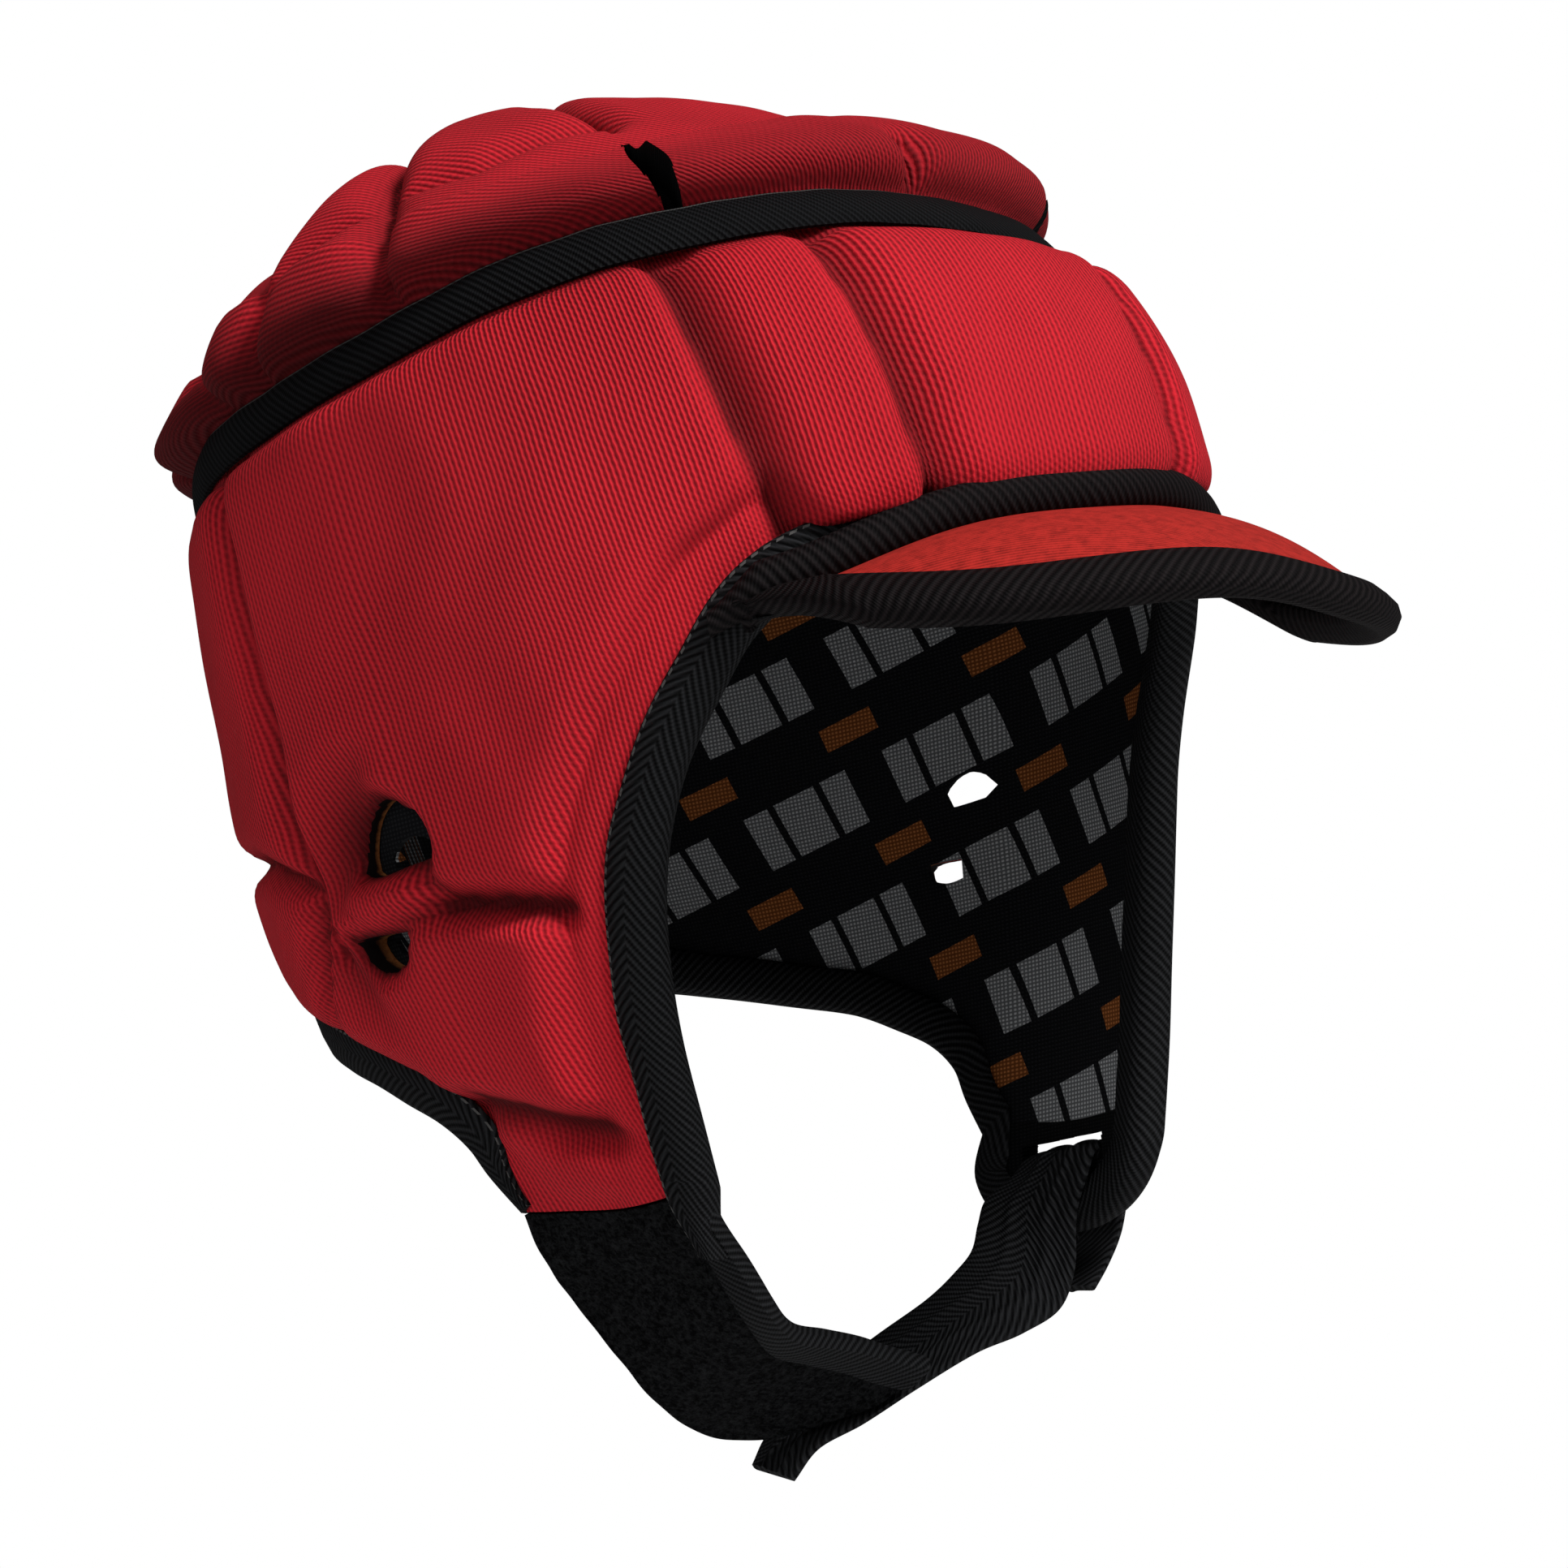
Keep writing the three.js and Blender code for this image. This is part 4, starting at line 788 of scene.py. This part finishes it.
def make_linings(material):
    turn, rise = wall_grid()
    turn, rise, keep = vented(turn[::2], rise[::2], LINING_OUTLINES)
    uv = paired(CLOTH_PER_DEGREE.lining * turn, rise)
    make_lining("wall_lining", "shell_lining", turn, rise, uv, material, keep)
    turn, rise = crown_grid(LINING_ROWS)
    make_lining("dome_lining", "crown_lining", turn, rise, on_head(turn, rise, 0)[..., :2], material)


def make_band(material):
    turn = np.linspace(-180, 180, BAND.columns, endpoint=False)[None, :]
    across = np.linspace(1, 0, BAND.rows)[:, None]
    rise = ring_rise(turn) + RING.tape * across
    plump = BAND.plump * np.sin(np.pi * across) ** BAND.power
    plump = plump + BAND.uneven * ripple(turn * BAND.ripple, rise)
    outer, inner = on_head(turn, rise, BAND.outside + plump), on_head(turn, rise, BAND.inside)
    uv = paired(CLOTH_PER_DEGREE.band * turn, RING.tape * across)
    dress(grid_body("seam_band", outer, inner, uv, material, True, BAND_SHARP), "crown_band")


def make_binding(name, node, parts, tail, material):
    """Folded tape along parts of (edge table, first row, last row, side), thinner at its right tail."""
    place, inward = [], []
    for table, first, last, side in parts:
        count = int(abs(last - first) * BINDING.points) + 2
        at, into = edge_places(table, np.linspace(first, last, count))
        place.append(at * [side, 1])
        inward.append(into * [side, 1])
    place, inward = np.concatenate(place), np.concatenate(inward)
    apart = np.linalg.norm(np.diff(cloth_plane(place), axis=0), axis=-1) > BINDING.least_step
    keep = np.concatenate([[True], apart])
    place, inward = place[keep], inward[keep]
    along = length_along(cloth_plane(place))
    wave = UNEVEN * ripple(*(along * rate for rate in BINDING.wave))[:, None]
    start, end, cut = tail
    slim = 1 - cut * smooth(place[:, 1], start, end) * (place[:, 0] < 0)

    def sheet(fold):
        fold = np.array(fold)
        step = fold[:, 0] * slim[:, None] + wave * (fold[:, 0] > BINDING.wave_from)
        turn = place[:, :1] + inward[:, :1] * step
        rise = place[:, 1:] + inward[:, 1:] * step
        return on_head(turn, rise, fold[:, 1])

    uv = paired(along[:, None], length_along(FOLD))
    made = grid_body(name, sheet(FOLD), sheet(FOLD_INSIDE), uv, material)
    return dress(made, node)


def make_bindings(material):
    face = [
        (FACE_TAIL, 2, 0, -1), (FACE_EDGE, 11, 0, -1), (FACE_EDGE, 0, 11, 1), (PATCH_EDGE, 0.4, 3.9, 1),
    ]
    neck = [(PATCH_EDGE, 4.1, 6.7, 1), (NECK_EDGE, 0, 9, 1), (NECK_EDGE, 9, 0, -1)]
    make_binding("face_tape", "face_binding", face, TAPE_TAILS.face, material)
    make_binding("neck_tape", "neck_binding", neck, TAPE_TAILS.neck, material)


def visor_point(sweep, share):
    side = np.sin(np.radians(sweep))
    ahead = np.cos(np.radians(sweep))
    drop = VISOR_ROOT.end_drop * side ** VISOR_ROOT.drop_power
    root = on_head(VISOR_ROOT.turn * sweep / VISOR_SWEEP, VISOR_ROOT.rise - drop, VISOR_ROOT.out)
    lift = VISOR.end_lift * np.abs(side) ** VISOR.lift_power
    lift = lift + VISOR.curl * np.abs(side) ** VISOR.curl_power
    droop = VISOR.lean * np.tanh(VISOR.lean_rate * side)
    edge = np.stack([
        VISOR.end_x * side, VISOR.end_y - VISOR.length * ahead, VISOR.rise + lift - droop,
    ], -1)
    share = np.asarray(share, float)[..., None]
    tip = 1 - VISOR_TIP.cut * smooth(np.abs(sweep), *VISOR_TIP.sweep)
    point = root + (edge - root) * share * np.asarray(tip)[..., None]
    arch = VISOR.arch * np.maximum(ahead, 0) ** VISOR.arch_power
    point[..., 2] += arch * np.sin(np.pi * share[..., 0])
    return point


def visor_at(sweep, share, out):
    sweep, share = np.broadcast_arrays(np.asarray(sweep, float), np.asarray(share, float))
    across = visor_point(sweep + NUDGE, share) - visor_point(sweep - NUDGE, share)
    along = visor_point(sweep, share + NUDGE) - visor_point(sweep, share - NUDGE)
    return visor_point(sweep, share) + unit(np.cross(along, across)) * np.asarray(out)[..., None]


def visor_inward(sweep):
    """Change of share for a millimetre in from the outline, square to it."""
    across = (visor_point(sweep + NUDGE, 1.0) - visor_point(sweep - NUDGE, 1.0)) / (2 * NUDGE)
    along = (visor_point(sweep, 1.0) - visor_point(sweep, 1.0 - NUDGE)) / NUDGE
    slide = -np.sum(along * across, -1) / np.sum(across * across, -1)
    return -1 / np.linalg.norm(along + across * slide[:, None], axis=-1)


def make_visor(top, under, tape):
    sweep = np.linspace(-VISOR_PLY_SWEEP, VISOR_PLY_SWEEP, VISOR_PLY.columns)[None, :]
    share = np.linspace(0, 1, VISOR_PLY.rows)[:, None]
    uv = visor_point(*np.broadcast_arrays(sweep, share))[..., :2]
    plump = VISOR_PLY.plump * np.sin(np.pi * share) * np.ones_like(sweep)
    near = np.full_like(plump, VISOR_PLY.inside)
    far = near + VISOR_PLY.thickness + plump
    upper = grid_body("visor_cloth", visor_at(sweep, share, far), visor_at(sweep, share, near), uv, top)
    dress(upper, "visor_top")
    lower = grid_body("visor_lining", visor_at(sweep, share, -near), visor_at(sweep, share, -far), uv, under)
    dress(lower, "visor_under")
    make_visor_rim(tape)
    make_seam_tape(tape)


def make_visor_rim(tape):
    sweep = np.linspace(-VISOR_SWEEP, VISOR_SWEEP, VISOR_RIM.points)
    share_in = np.maximum(visor_inward(sweep), VISOR_RIM.steepest)
    fade = np.clip((VISOR_SWEEP - np.abs(sweep) + VISOR_RIM.past) / VISOR_TIP.fade, 0, 1)
    fold = np.array(VISOR_FOLD)[None]

    def sheet(scale):
        step = np.where(fold[..., 0] > 0, fold[..., 0] * fade[:, None], fold[..., 0] * scale)
        out = fold[..., 1] - np.sign(fold[..., 1]) * (1 - scale) * VISOR_RIM.thickness
        return visor_at(sweep[:, None], 1 + share_in[:, None] * step, out)

    along = length_along(visor_point(sweep, np.ones_like(sweep)))
    uv = paired(along[:, None], length_along(VISOR_FOLD))
    rim = grid_body("visor_edge_tape", sheet(1.0), sheet(VISOR_RIM.inner_scale), uv, tape)
    dress(rim, "visor_rim")


def make_seam_tape(tape):
    angle = np.linspace(-SEAM_TAPE.sweep, SEAM_TAPE.sweep, SEAM_TAPE.columns)[:, None]
    past = np.maximum(np.abs(angle) - SEAM_TAPE.end, 0)
    drop = VISOR_ROOT.end_drop * np.sin(np.radians(angle)) ** VISOR_ROOT.drop_power
    drop = drop + SEAM_TAPE.end_drop * past
    slim = 1 - SEAM_TAPE.thin * smooth(past, 0, SEAM_TAPE.sweep - SEAM_TAPE.end)
    turn = VISOR_ROOT.turn * angle / VISOR_SWEEP
    bend = np.linspace(-0.5 * np.pi, 0.5 * np.pi, SEAM_TAPE.rows)[None, :]
    middle = (SEAM_TAPE.bottom + SEAM_TAPE.top) / 2
    half = (SEAM_TAPE.top - SEAM_TAPE.bottom) / 2
    rise = middle + half * slim * np.sin(bend) - drop
    depth = (SEAM_TAPE.outside - SEAM_TAPE.inside) * slim
    outer = on_head(turn, rise, SEAM_TAPE.inside + depth * np.cos(bend) ** SEAM_TAPE.power)
    inner = on_head(turn, rise, SEAM_TAPE.inside - SEAM_TAPE.thickness)
    uv = paired(CLOTH_PER_DEGREE.brow_tape * turn, SEAM_TAPE.width * bend / np.pi)
    dress(grid_body("brow_tape", outer, inner, uv, tape), "visor_seam_tape")


def ribbon(edges, rows, columns):
    """Middle points, normals and lengths of a ribbon between two edges."""
    at = np.linspace(0, 1, rows)
    front = curve_points([e[0] for e in edges], at)
    back = curve_points([e[1] for e in edges], at)
    across = np.linspace(0, 1, columns)[None, :, None]
    middle = front[:, None] * (1 - across) + back[:, None] * across
    ahead = np.gradient(middle, axis=0)
    over = (back - front)[:, None] * np.ones_like(across)
    width = np.linalg.norm(back - front, axis=-1)
    uv = paired(length_along((front + back) / 2)[:, None], across[..., 0] * width[:, None])
    return middle, unit(np.cross(ahead, over)), uv


def tab_top(turn):
    """Places just under the flap's tip, where the tab is sewn on."""
    tip, _ = edge_places(TIP_EDGE, np.linspace(0, 2, TIP_POINTS))
    rise = np.interp(np.abs(turn), tip[:, 0], tip[:, 1])
    return on_head(turn, rise - TAB_START.gap, TAB_START.out)


def make_tab(pile, tape):
    rows, columns = TAB_MESH
    ends = np.array([TAB_START.front, TAB_START.back], float)
    below = on_head(ends, TAB_START.rise, TAB_START.out)
    middle, normal, uv = ribbon([tab_top(ends), below, *TAB_EDGES], rows, columns)
    sewn = tab_top(np.linspace(*ends, columns)) - middle[0]
    middle += sewn * smooth(np.arange(rows), TAB_SEWN_ROWS, 0)[:, None, None]
    uneven = ripple(uv[..., 0] * TAB_UNEVEN.rate, uv[..., 1] * TAB_UNEVEN.rate)
    thick = normal * (TAB_THICKNESS / 2 + TAB_UNEVEN.by * uneven)[..., None]
    dress(grid_body("pile_tab", middle + thick, middle - thick, uv, pile), "chin_tab")

    inward = unit(middle[:, -1] - middle[:, 0])
    fold = np.array(TAB_FOLD)

    def sheet(scale):
        step = np.where(fold[:, 0] > 0, fold[:, 0], fold[:, 0] * scale)
        lift = np.sign(fold[:, 1]) * np.maximum(np.abs(fold[:, 1]) * scale, TAB_FOLD_LEAST)
        return middle[:, :1] + inward[:, None] * step[:, None] + normal[:, :1] * lift[:, None]

    uv = paired(uv[:, :1, 0], length_along(fold))
    made = grid_body("tab_tape", sheet(1.0), sheet(TAB_FOLD_SCALE), uv, tape)
    dress(made, "chin_tab_binding")


def make_strap(webbing):
    middle, normal, uv = ribbon(STRAP_EDGES, *STRAP_MESH)
    across = np.linspace(0, 1, STRAP_MESH[1])[None, :]
    bumps = [np.exp(-(((across - at) / STRAP_FOLDS.width) ** 2)) for at in STRAP_FOLDS.at]
    rim = np.maximum(smooth(across, *STRAP_RIM.low), smooth(across, *STRAP_RIM.high))
    thick = STRAP_THICKNESS / 2 * (1 - STRAP_RIM.cut * rim)
    outer = middle + normal * (thick + STRAP_FOLDS.height * sum(bumps))[..., None]
    inner = middle - normal * thick[..., None]
    dress(grid_body("chin_webbing", outer, inner, uv, webbing), "chin_strap")


def make_patch(cloth):
    edge, _ = edge_places(PATCH_EDGE, np.linspace(0, len(PATCH_EDGE) - 1, PATCH.columns))
    top, _ = edge_places(TIP_EDGE, np.linspace(0, 2, PATCH.columns))
    turn_top = np.linspace(edge[0, 0], edge[-1, 0], PATCH.columns)
    rise_top = top[:, 1] + PATCH.overlap
    share = np.linspace(0, 1, PATCH.rows)[:, None]
    turn = turn_top + (edge[:, 0] - turn_top) * share
    rise = rise_top + (np.minimum(edge[:, 1], rise_top) - rise_top) * share
    outer, inner = on_head(turn, rise, PATCH.outside), on_head(turn, rise, PATCH.inside)
    cell = (outer[:-1, :-1] + outer[1:, 1:]) / 2
    beside = np.abs(cell[..., 1] - SLOT.y) >= SLOT.length / 2
    off_level = np.abs(cell[..., 2] - SLOT.rise) >= SLOT.height / 2
    uv = paired(CLOTH_PER_DEGREE.patch * turn, rise)
    made = grid_body("slotted_end", outer, inner, uv, cloth, keep=beside | off_level)
    dress(made, "strap_patch")


class Cloth:
    """A material's node tree, with short calls for its nodes."""

    def __init__(self, name, roughness, sheen=0.0, tint=(1, 1, 1), gloss=0.06):
        self.material = bpy.data.materials.new(name)
        self.material.use_nodes = True
        self.tree = self.material.node_tree
        self.shader = self.tree.nodes["Principled BSDF"]
        look = {
            "Roughness": roughness, "Specular IOR Level": gloss, "Sheen Weight": sheen,
            "Sheen Roughness": 0.5, "Sheen Tint": (*tint, 1),
        }
        for key, value in look.items():
            self.shader.inputs[key].default_value = value
        uv = self.node("ShaderNodeUVMap", uv_map="cloth")
        parts = self.node("ShaderNodeSeparateXYZ", {0: uv.outputs[0]})
        self.u, self.v = parts.outputs[0], parts.outputs[1]
        self.object = self.node("ShaderNodeTexCoord").outputs["Object"]

    def node(self, kind, inputs=None, **settings):
        made = self.tree.nodes.new(kind)
        for key, value in settings.items():
            setattr(made, key, value)
        for key, value in (inputs or {}).items():
            socket = made.inputs[key]
            if isinstance(value, bpy.types.NodeSocket):
                self.tree.links.new(value, socket)
            else:
                socket.default_value = value
        return made

    def math(self, operation, a, b=0.0, c=0.0):
        return self.node("ShaderNodeMath", {0: a, 1: b, 2: c}, operation=operation).outputs[0]

    def times(self, a, b, plus=None):
        """Product of two values, plus a third one where it is given."""
        if plus is None:
            return self.math("MULTIPLY", a, b)
        return self.math("MULTIPLY_ADD", a, b, plus)

    # Mesh attribute holding painted shade, and on the lining the mark of its face without print
    def painted_shade_and_unprinted(self):
        return self.node("ShaderNodeAttribute", attribute_name="painted_shade_and_unprinted").outputs["Fac"]

    def wave(self, value, pitch):
        """Sine between 0 and 1 with a pitch in the value's units."""
        angle = self.times(value, 2 * math.pi / pitch)
        return self.times(self.math("SINE", angle), 0.5, 0.5)

    def weave(self, pitch):
        return self.times(self.wave(self.u, pitch), self.wave(self.v, pitch))

    def noise(self, scale, detail=2.0, roughness=0.5):
        inputs = {"Vector": self.object, "Scale": scale, "Detail": detail, "Roughness": roughness}
        return self.node("ShaderNodeTexNoise", inputs).outputs[0]

    def ramp(self, value, low, high, colours):
        """Colour that goes from the first of two to the second as the value goes from low to high."""
        made = self.node("ShaderNodeValToRGB", {0: value})
        for element, at, colour in zip(made.color_ramp.elements, (low, high), colours):
            element.position = at
            element.color = (*colour, 1)
        return made.outputs[0]

    def mix(self, share, a, b):
        a, b = (c if isinstance(c, bpy.types.NodeSocket) else (*c, 1) for c in (a, b))
        return self.node("ShaderNodeMix", {0: share, 6: a, 7: b}, data_type="RGBA").outputs[2]

    def finish(self, tone, height, strength, distance):
        """The material, with its colour and the bumps of its height, a distance in millimetres."""
        inputs = {"Height": height, "Strength": strength, "Distance": distance * MM}
        bump = self.node("ShaderNodeBump", inputs)
        self.tree.links.new(tone, self.shader.inputs["Base Color"])
        self.tree.links.new(bump.outputs[0], self.shader.inputs["Normal"])
        return self.material


def knit_material():
    cloth = Cloth("red_knit", roughness=0.8, sheen=0.06, tint=(0.9, 0.12, 0.12), gloss=0.12)
    wander = cloth.times(cloth.noise(60, 2), KNIT.wander, cloth.u)
    rib = cloth.wave(wander, KNIT.pitch)
    slanted = cloth.math("ADD", cloth.v, cloth.times(cloth.u, KNIT.loop_lean))
    loop = cloth.wave(slanted, KNIT.loop_pitch)
    fuzz = cloth.noise(2600, 3, 0.7)
    height = cloth.times(loop, 0.25, rib)
    height = cloth.times(fuzz, 0.5, height)
    # Colour from random mottling and the threads' height: darker in the ribs' grooves, as painted shade
    # between them
    patch = cloth.times(cloth.noise(22, 3), 0.35, cloth.times(height, 0.5))
    # Painted shade from the mesh attribute, mixing the red towards a dark red
    shade = cloth.times(cloth.math("POWER", cloth.painted_shade_and_unprinted(), KNIT.shade_power), KNIT.shade)
    tone = cloth.mix(shade, cloth.ramp(patch, 0.2, 0.78, TONES["red_knit"]), KNIT_SHADE)
    return cloth.finish(tone, height, strength=0.8, distance=0.5)


def tape_material(name, tones, pitch, chevron, light_line):
    """Ribbed tape, from a row of the tapes' table."""
    cloth = Cloth(name, 0.72)
    across = cloth.v
    if chevron:
        across = cloth.math("ABSOLUTE", cloth.math("SUBTRACT", cloth.v, chevron))
    diagonal = cloth.times(across, TAPE_RIBS.slope, cloth.u)
    diagonal = cloth.times(cloth.noise(90, 2), TAPE_RIBS.wander, diagonal)
    rib = cloth.wave(diagonal, pitch)
    slanted = cloth.times(cloth.v, TAPE_RIBS.thread_slope, cloth.u)
    thread = cloth.wave(slanted, pitch * TAPE_RIBS.thread_share)
    height = cloth.times(thread, 0.3, rib)
    height = cloth.times(cloth.noise(1500, 3, 0.7), 0.4, height)
    tone = cloth.ramp(cloth.times(height, 0.6), 0.2, 0.9, TONES[tones])
    # A lighter, slightly raised line along the tape, broken into stitches where a pitch is given
    if light_line:
        low, high, stitch = light_line
        above, below = cloth.math("GREATER_THAN", cloth.v, low), cloth.math("LESS_THAN", cloth.v, high)
        on_line = cloth.times(above, below)
        if stitch:
            gaps = cloth.wave(cloth.times(cloth.v, TAPE_RIBS.stitch_slope, cloth.u), stitch)
            on_line = cloth.times(on_line, cloth.math("GREATER_THAN", gaps, TAPE_RIBS.stitch_gap))
        tone = cloth.mix(on_line, tone, LINE_TONE)
        height = cloth.math("ADD", height, on_line)
    return cloth.finish(tone, height, strength=0.8, distance=0.4)


def pile_material():
    cloth = Cloth("loop_pile", 0.95, gloss=0.03)
    loops = cloth.noise(900, 4, 0.8)
    clumps = cloth.noise(420, 3, 0.6)
    height = cloth.times(clumps, 0.25, loops)
    shade = cloth.times(height, 0.8)
    tone = cloth.ramp(shade, 0.42, 0.64, TONES["loop_pile"])
    return cloth.finish(tone, height, strength=0.9, distance=0.8)


def plain_material():
    cloth = Cloth("black_cloth", 0.8)
    weave = cloth.weave(0.7)
    height = cloth.times(cloth.noise(700, 3, 0.7), 0.5, weave)
    tone = cloth.ramp(cloth.times(height, 0.7), 0.2, 0.9, TONES["black_cloth"])
    return cloth.finish(tone, height, strength=0.5, distance=0.3)


def foam_material():
    """Cut foam of a vent's wall, darkened by painted shade towards the outside."""
    cloth = Cloth("foam", 0.9)
    grain = cloth.noise(900, 3, 0.7)
    brown = cloth.ramp(grain, 0.3, 0.75, TONES["foam"])
    # Painted shade from the mesh attribute, darkening the brown towards the vent's outer end
    shade = cloth.ramp(cloth.painted_shade_and_unprinted(), 0.1, 0.4, BLACK_TO_WHITE)
    tone = cloth.mix(shade, brown, FOAM_SHADE)
    return cloth.finish(tone, grain, strength=0.6, distance=0.3)


def visor_material():
    cloth = Cloth("visor_cloth", roughness=0.82, sheen=0.05, tint=(0.9, 0.2, 0.12), gloss=0.12)
    mottle = cloth.noise(420, 4, 0.7)
    weave = cloth.wave(cloth.math("ADD", cloth.u, cloth.v), 1.0)
    height = cloth.times(weave, 0.35, mottle)
    tone = cloth.ramp(height, 0.3, 0.85, TONES["visor_cloth"])
    return cloth.finish(tone, height, strength=0.5, distance=0.35)


def lining_material():
    """Black woven lining with a plain motif of slanted bars in grey and orange on its inner face."""
    cloth = Cloth("lining_cloth", 0.85)
    slant = cloth.times(cloth.u, MOTIF.slant, cloth.v)
    lean = cloth.times(cloth.v, MOTIF.lean, cloth.u)
    row = cloth.math("PINGPONG", slant, MOTIF.row)
    column = cloth.math("PINGPONG", lean, MOTIF.column)
    block = cloth.math("GREATER_THAN", cloth.math("PINGPONG", lean, MOTIF.block), MOTIF.block_gap)
    in_row = cloth.math("LESS_THAN", row, MOTIF.bar_row)
    bar = cloth.times(in_row, cloth.math("GREATER_THAN", column, MOTIF.bar_column))
    bar = cloth.times(bar, block)
    off_row = cloth.math("GREATER_THAN", row, MOTIF.dash_row)
    dash = cloth.times(off_row, cloth.math("LESS_THAN", column, MOTIF.dash_column))
    printed = cloth.math("LESS_THAN", cloth.painted_shade_and_unprinted(), 0.5)
    bar, dash = (cloth.times(shape, printed) for shape in (bar, dash))
    weave = cloth.weave(0.8)
    grey, orange = (cloth.ramp(weave, 0.1, 0.7, TONES[name]) for name in ("motif_grey", "motif_orange"))
    black = cloth.ramp(weave, 0.1, 0.8, TONES["lining_cloth"])
    tone = cloth.mix(bar, black, grey)
    tone = cloth.mix(dash, tone, orange)
    return cloth.finish(tone, weave, strength=0.5, distance=0.25)


def make_stage():
    floor = bpy.data.meshes.new("floor")
    size = FLOOR.half_size
    level = CAD_BOX[0][2] - FLOOR.drop
    square = [(-size, -size, level), (size, -size, level), (size, size, level), (-size, size, level)]
    floor.from_pydata(square, [], [(0, 1, 2, 3)])
    cloth = bpy.data.materials.new("pale_floor")
    cloth.use_nodes = True
    for key, value in FLOOR_LOOK.items():
        cloth.node_tree.nodes["Principled BSDF"].inputs[key].default_value = value
    floor.materials.append(cloth)
    linked("floor", floor)

    world = bpy.data.worlds.new("studio")
    world.use_nodes = True
    tree = world.node_tree
    seen = tree.nodes.new("ShaderNodeLightPath")
    strength = tree.nodes.new("ShaderNodeMapRange")
    strength.inputs["To Min"].default_value = WORLD.light
    strength.inputs["To Max"].default_value = WORLD.seen
    tree.links.new(seen.outputs["Is Camera Ray"], strength.inputs["Value"])
    tree.nodes["Background"].inputs["Color"].default_value = (1, 1, 1, 1)
    tree.links.new(strength.outputs[0], tree.nodes["Background"].inputs["Strength"])
    bpy.context.scene.world = world


def add_light(name, place, size, power):
    data = bpy.data.lights.new(name, "AREA")
    data.shape = "DISK"
    data.size = size
    data.energy = power
    made = linked(name, data)
    made.location = place
    made.rotation_mode = "QUATERNION"
    made.rotation_quaternion = (Vector(LIGHT_AIM) - Vector(place)).to_track_quat("-Z", "Y")


def make_camera():
    azimuth, elevation, turn = map(math.radians, (CAMERA.azimuth, CAMERA.elevation, CAMERA.roll))
    level = math.cos(elevation)
    back = Vector((math.sin(azimuth) * level, -math.cos(azimuth) * level, math.sin(elevation)))
    right = (-back).cross(Vector((0, 0, 1))).normalized()
    up = right.cross(-back)
    right, up = right * math.cos(turn) + up * math.sin(turn), up * math.cos(turn) - right * math.sin(turn)
    place = back * CAMERA.distance
    aim = right * CAMERA_AIM.right + up * CAMERA_AIM.up
    back = (place - aim).normalized()
    right = up.cross(back).normalized()
    up = back.cross(right)
    data = bpy.data.cameras.new("camera")
    data.lens = CAMERA.lens
    data.sensor_width = CAMERA.sensor
    made = linked("camera", data)
    spot = (place - Vector(ORIGIN)) * MM
    turned = Matrix((right, up, back)).transposed().to_4x4()
    made.matrix_world = Matrix.Translation(spot) @ turned
    bpy.context.scene.camera = made


def main():
    red = knit_material()
    tapes = {name: tape_material(name, *row) for name, row in TAPES.items()}
    black = plain_material()
    make_shell(red, foam_material())
    make_crown(red, black)
    make_linings(lining_material())
    make_band(tapes["black_tape"])
    make_bindings(tapes["chevron_tape"])
    make_visor(visor_material(), black, tapes["visor_tape"])
    make_tab(pile_material(), tapes["piped_tape"])
    make_patch(black)
    make_strap(tapes["webbing"])
    make_stage()
    for name, row in LIGHTS.items():
        add_light(name, *row)
    make_camera()
    bpy.context.scene.view_settings.view_transform = "Standard"


main()
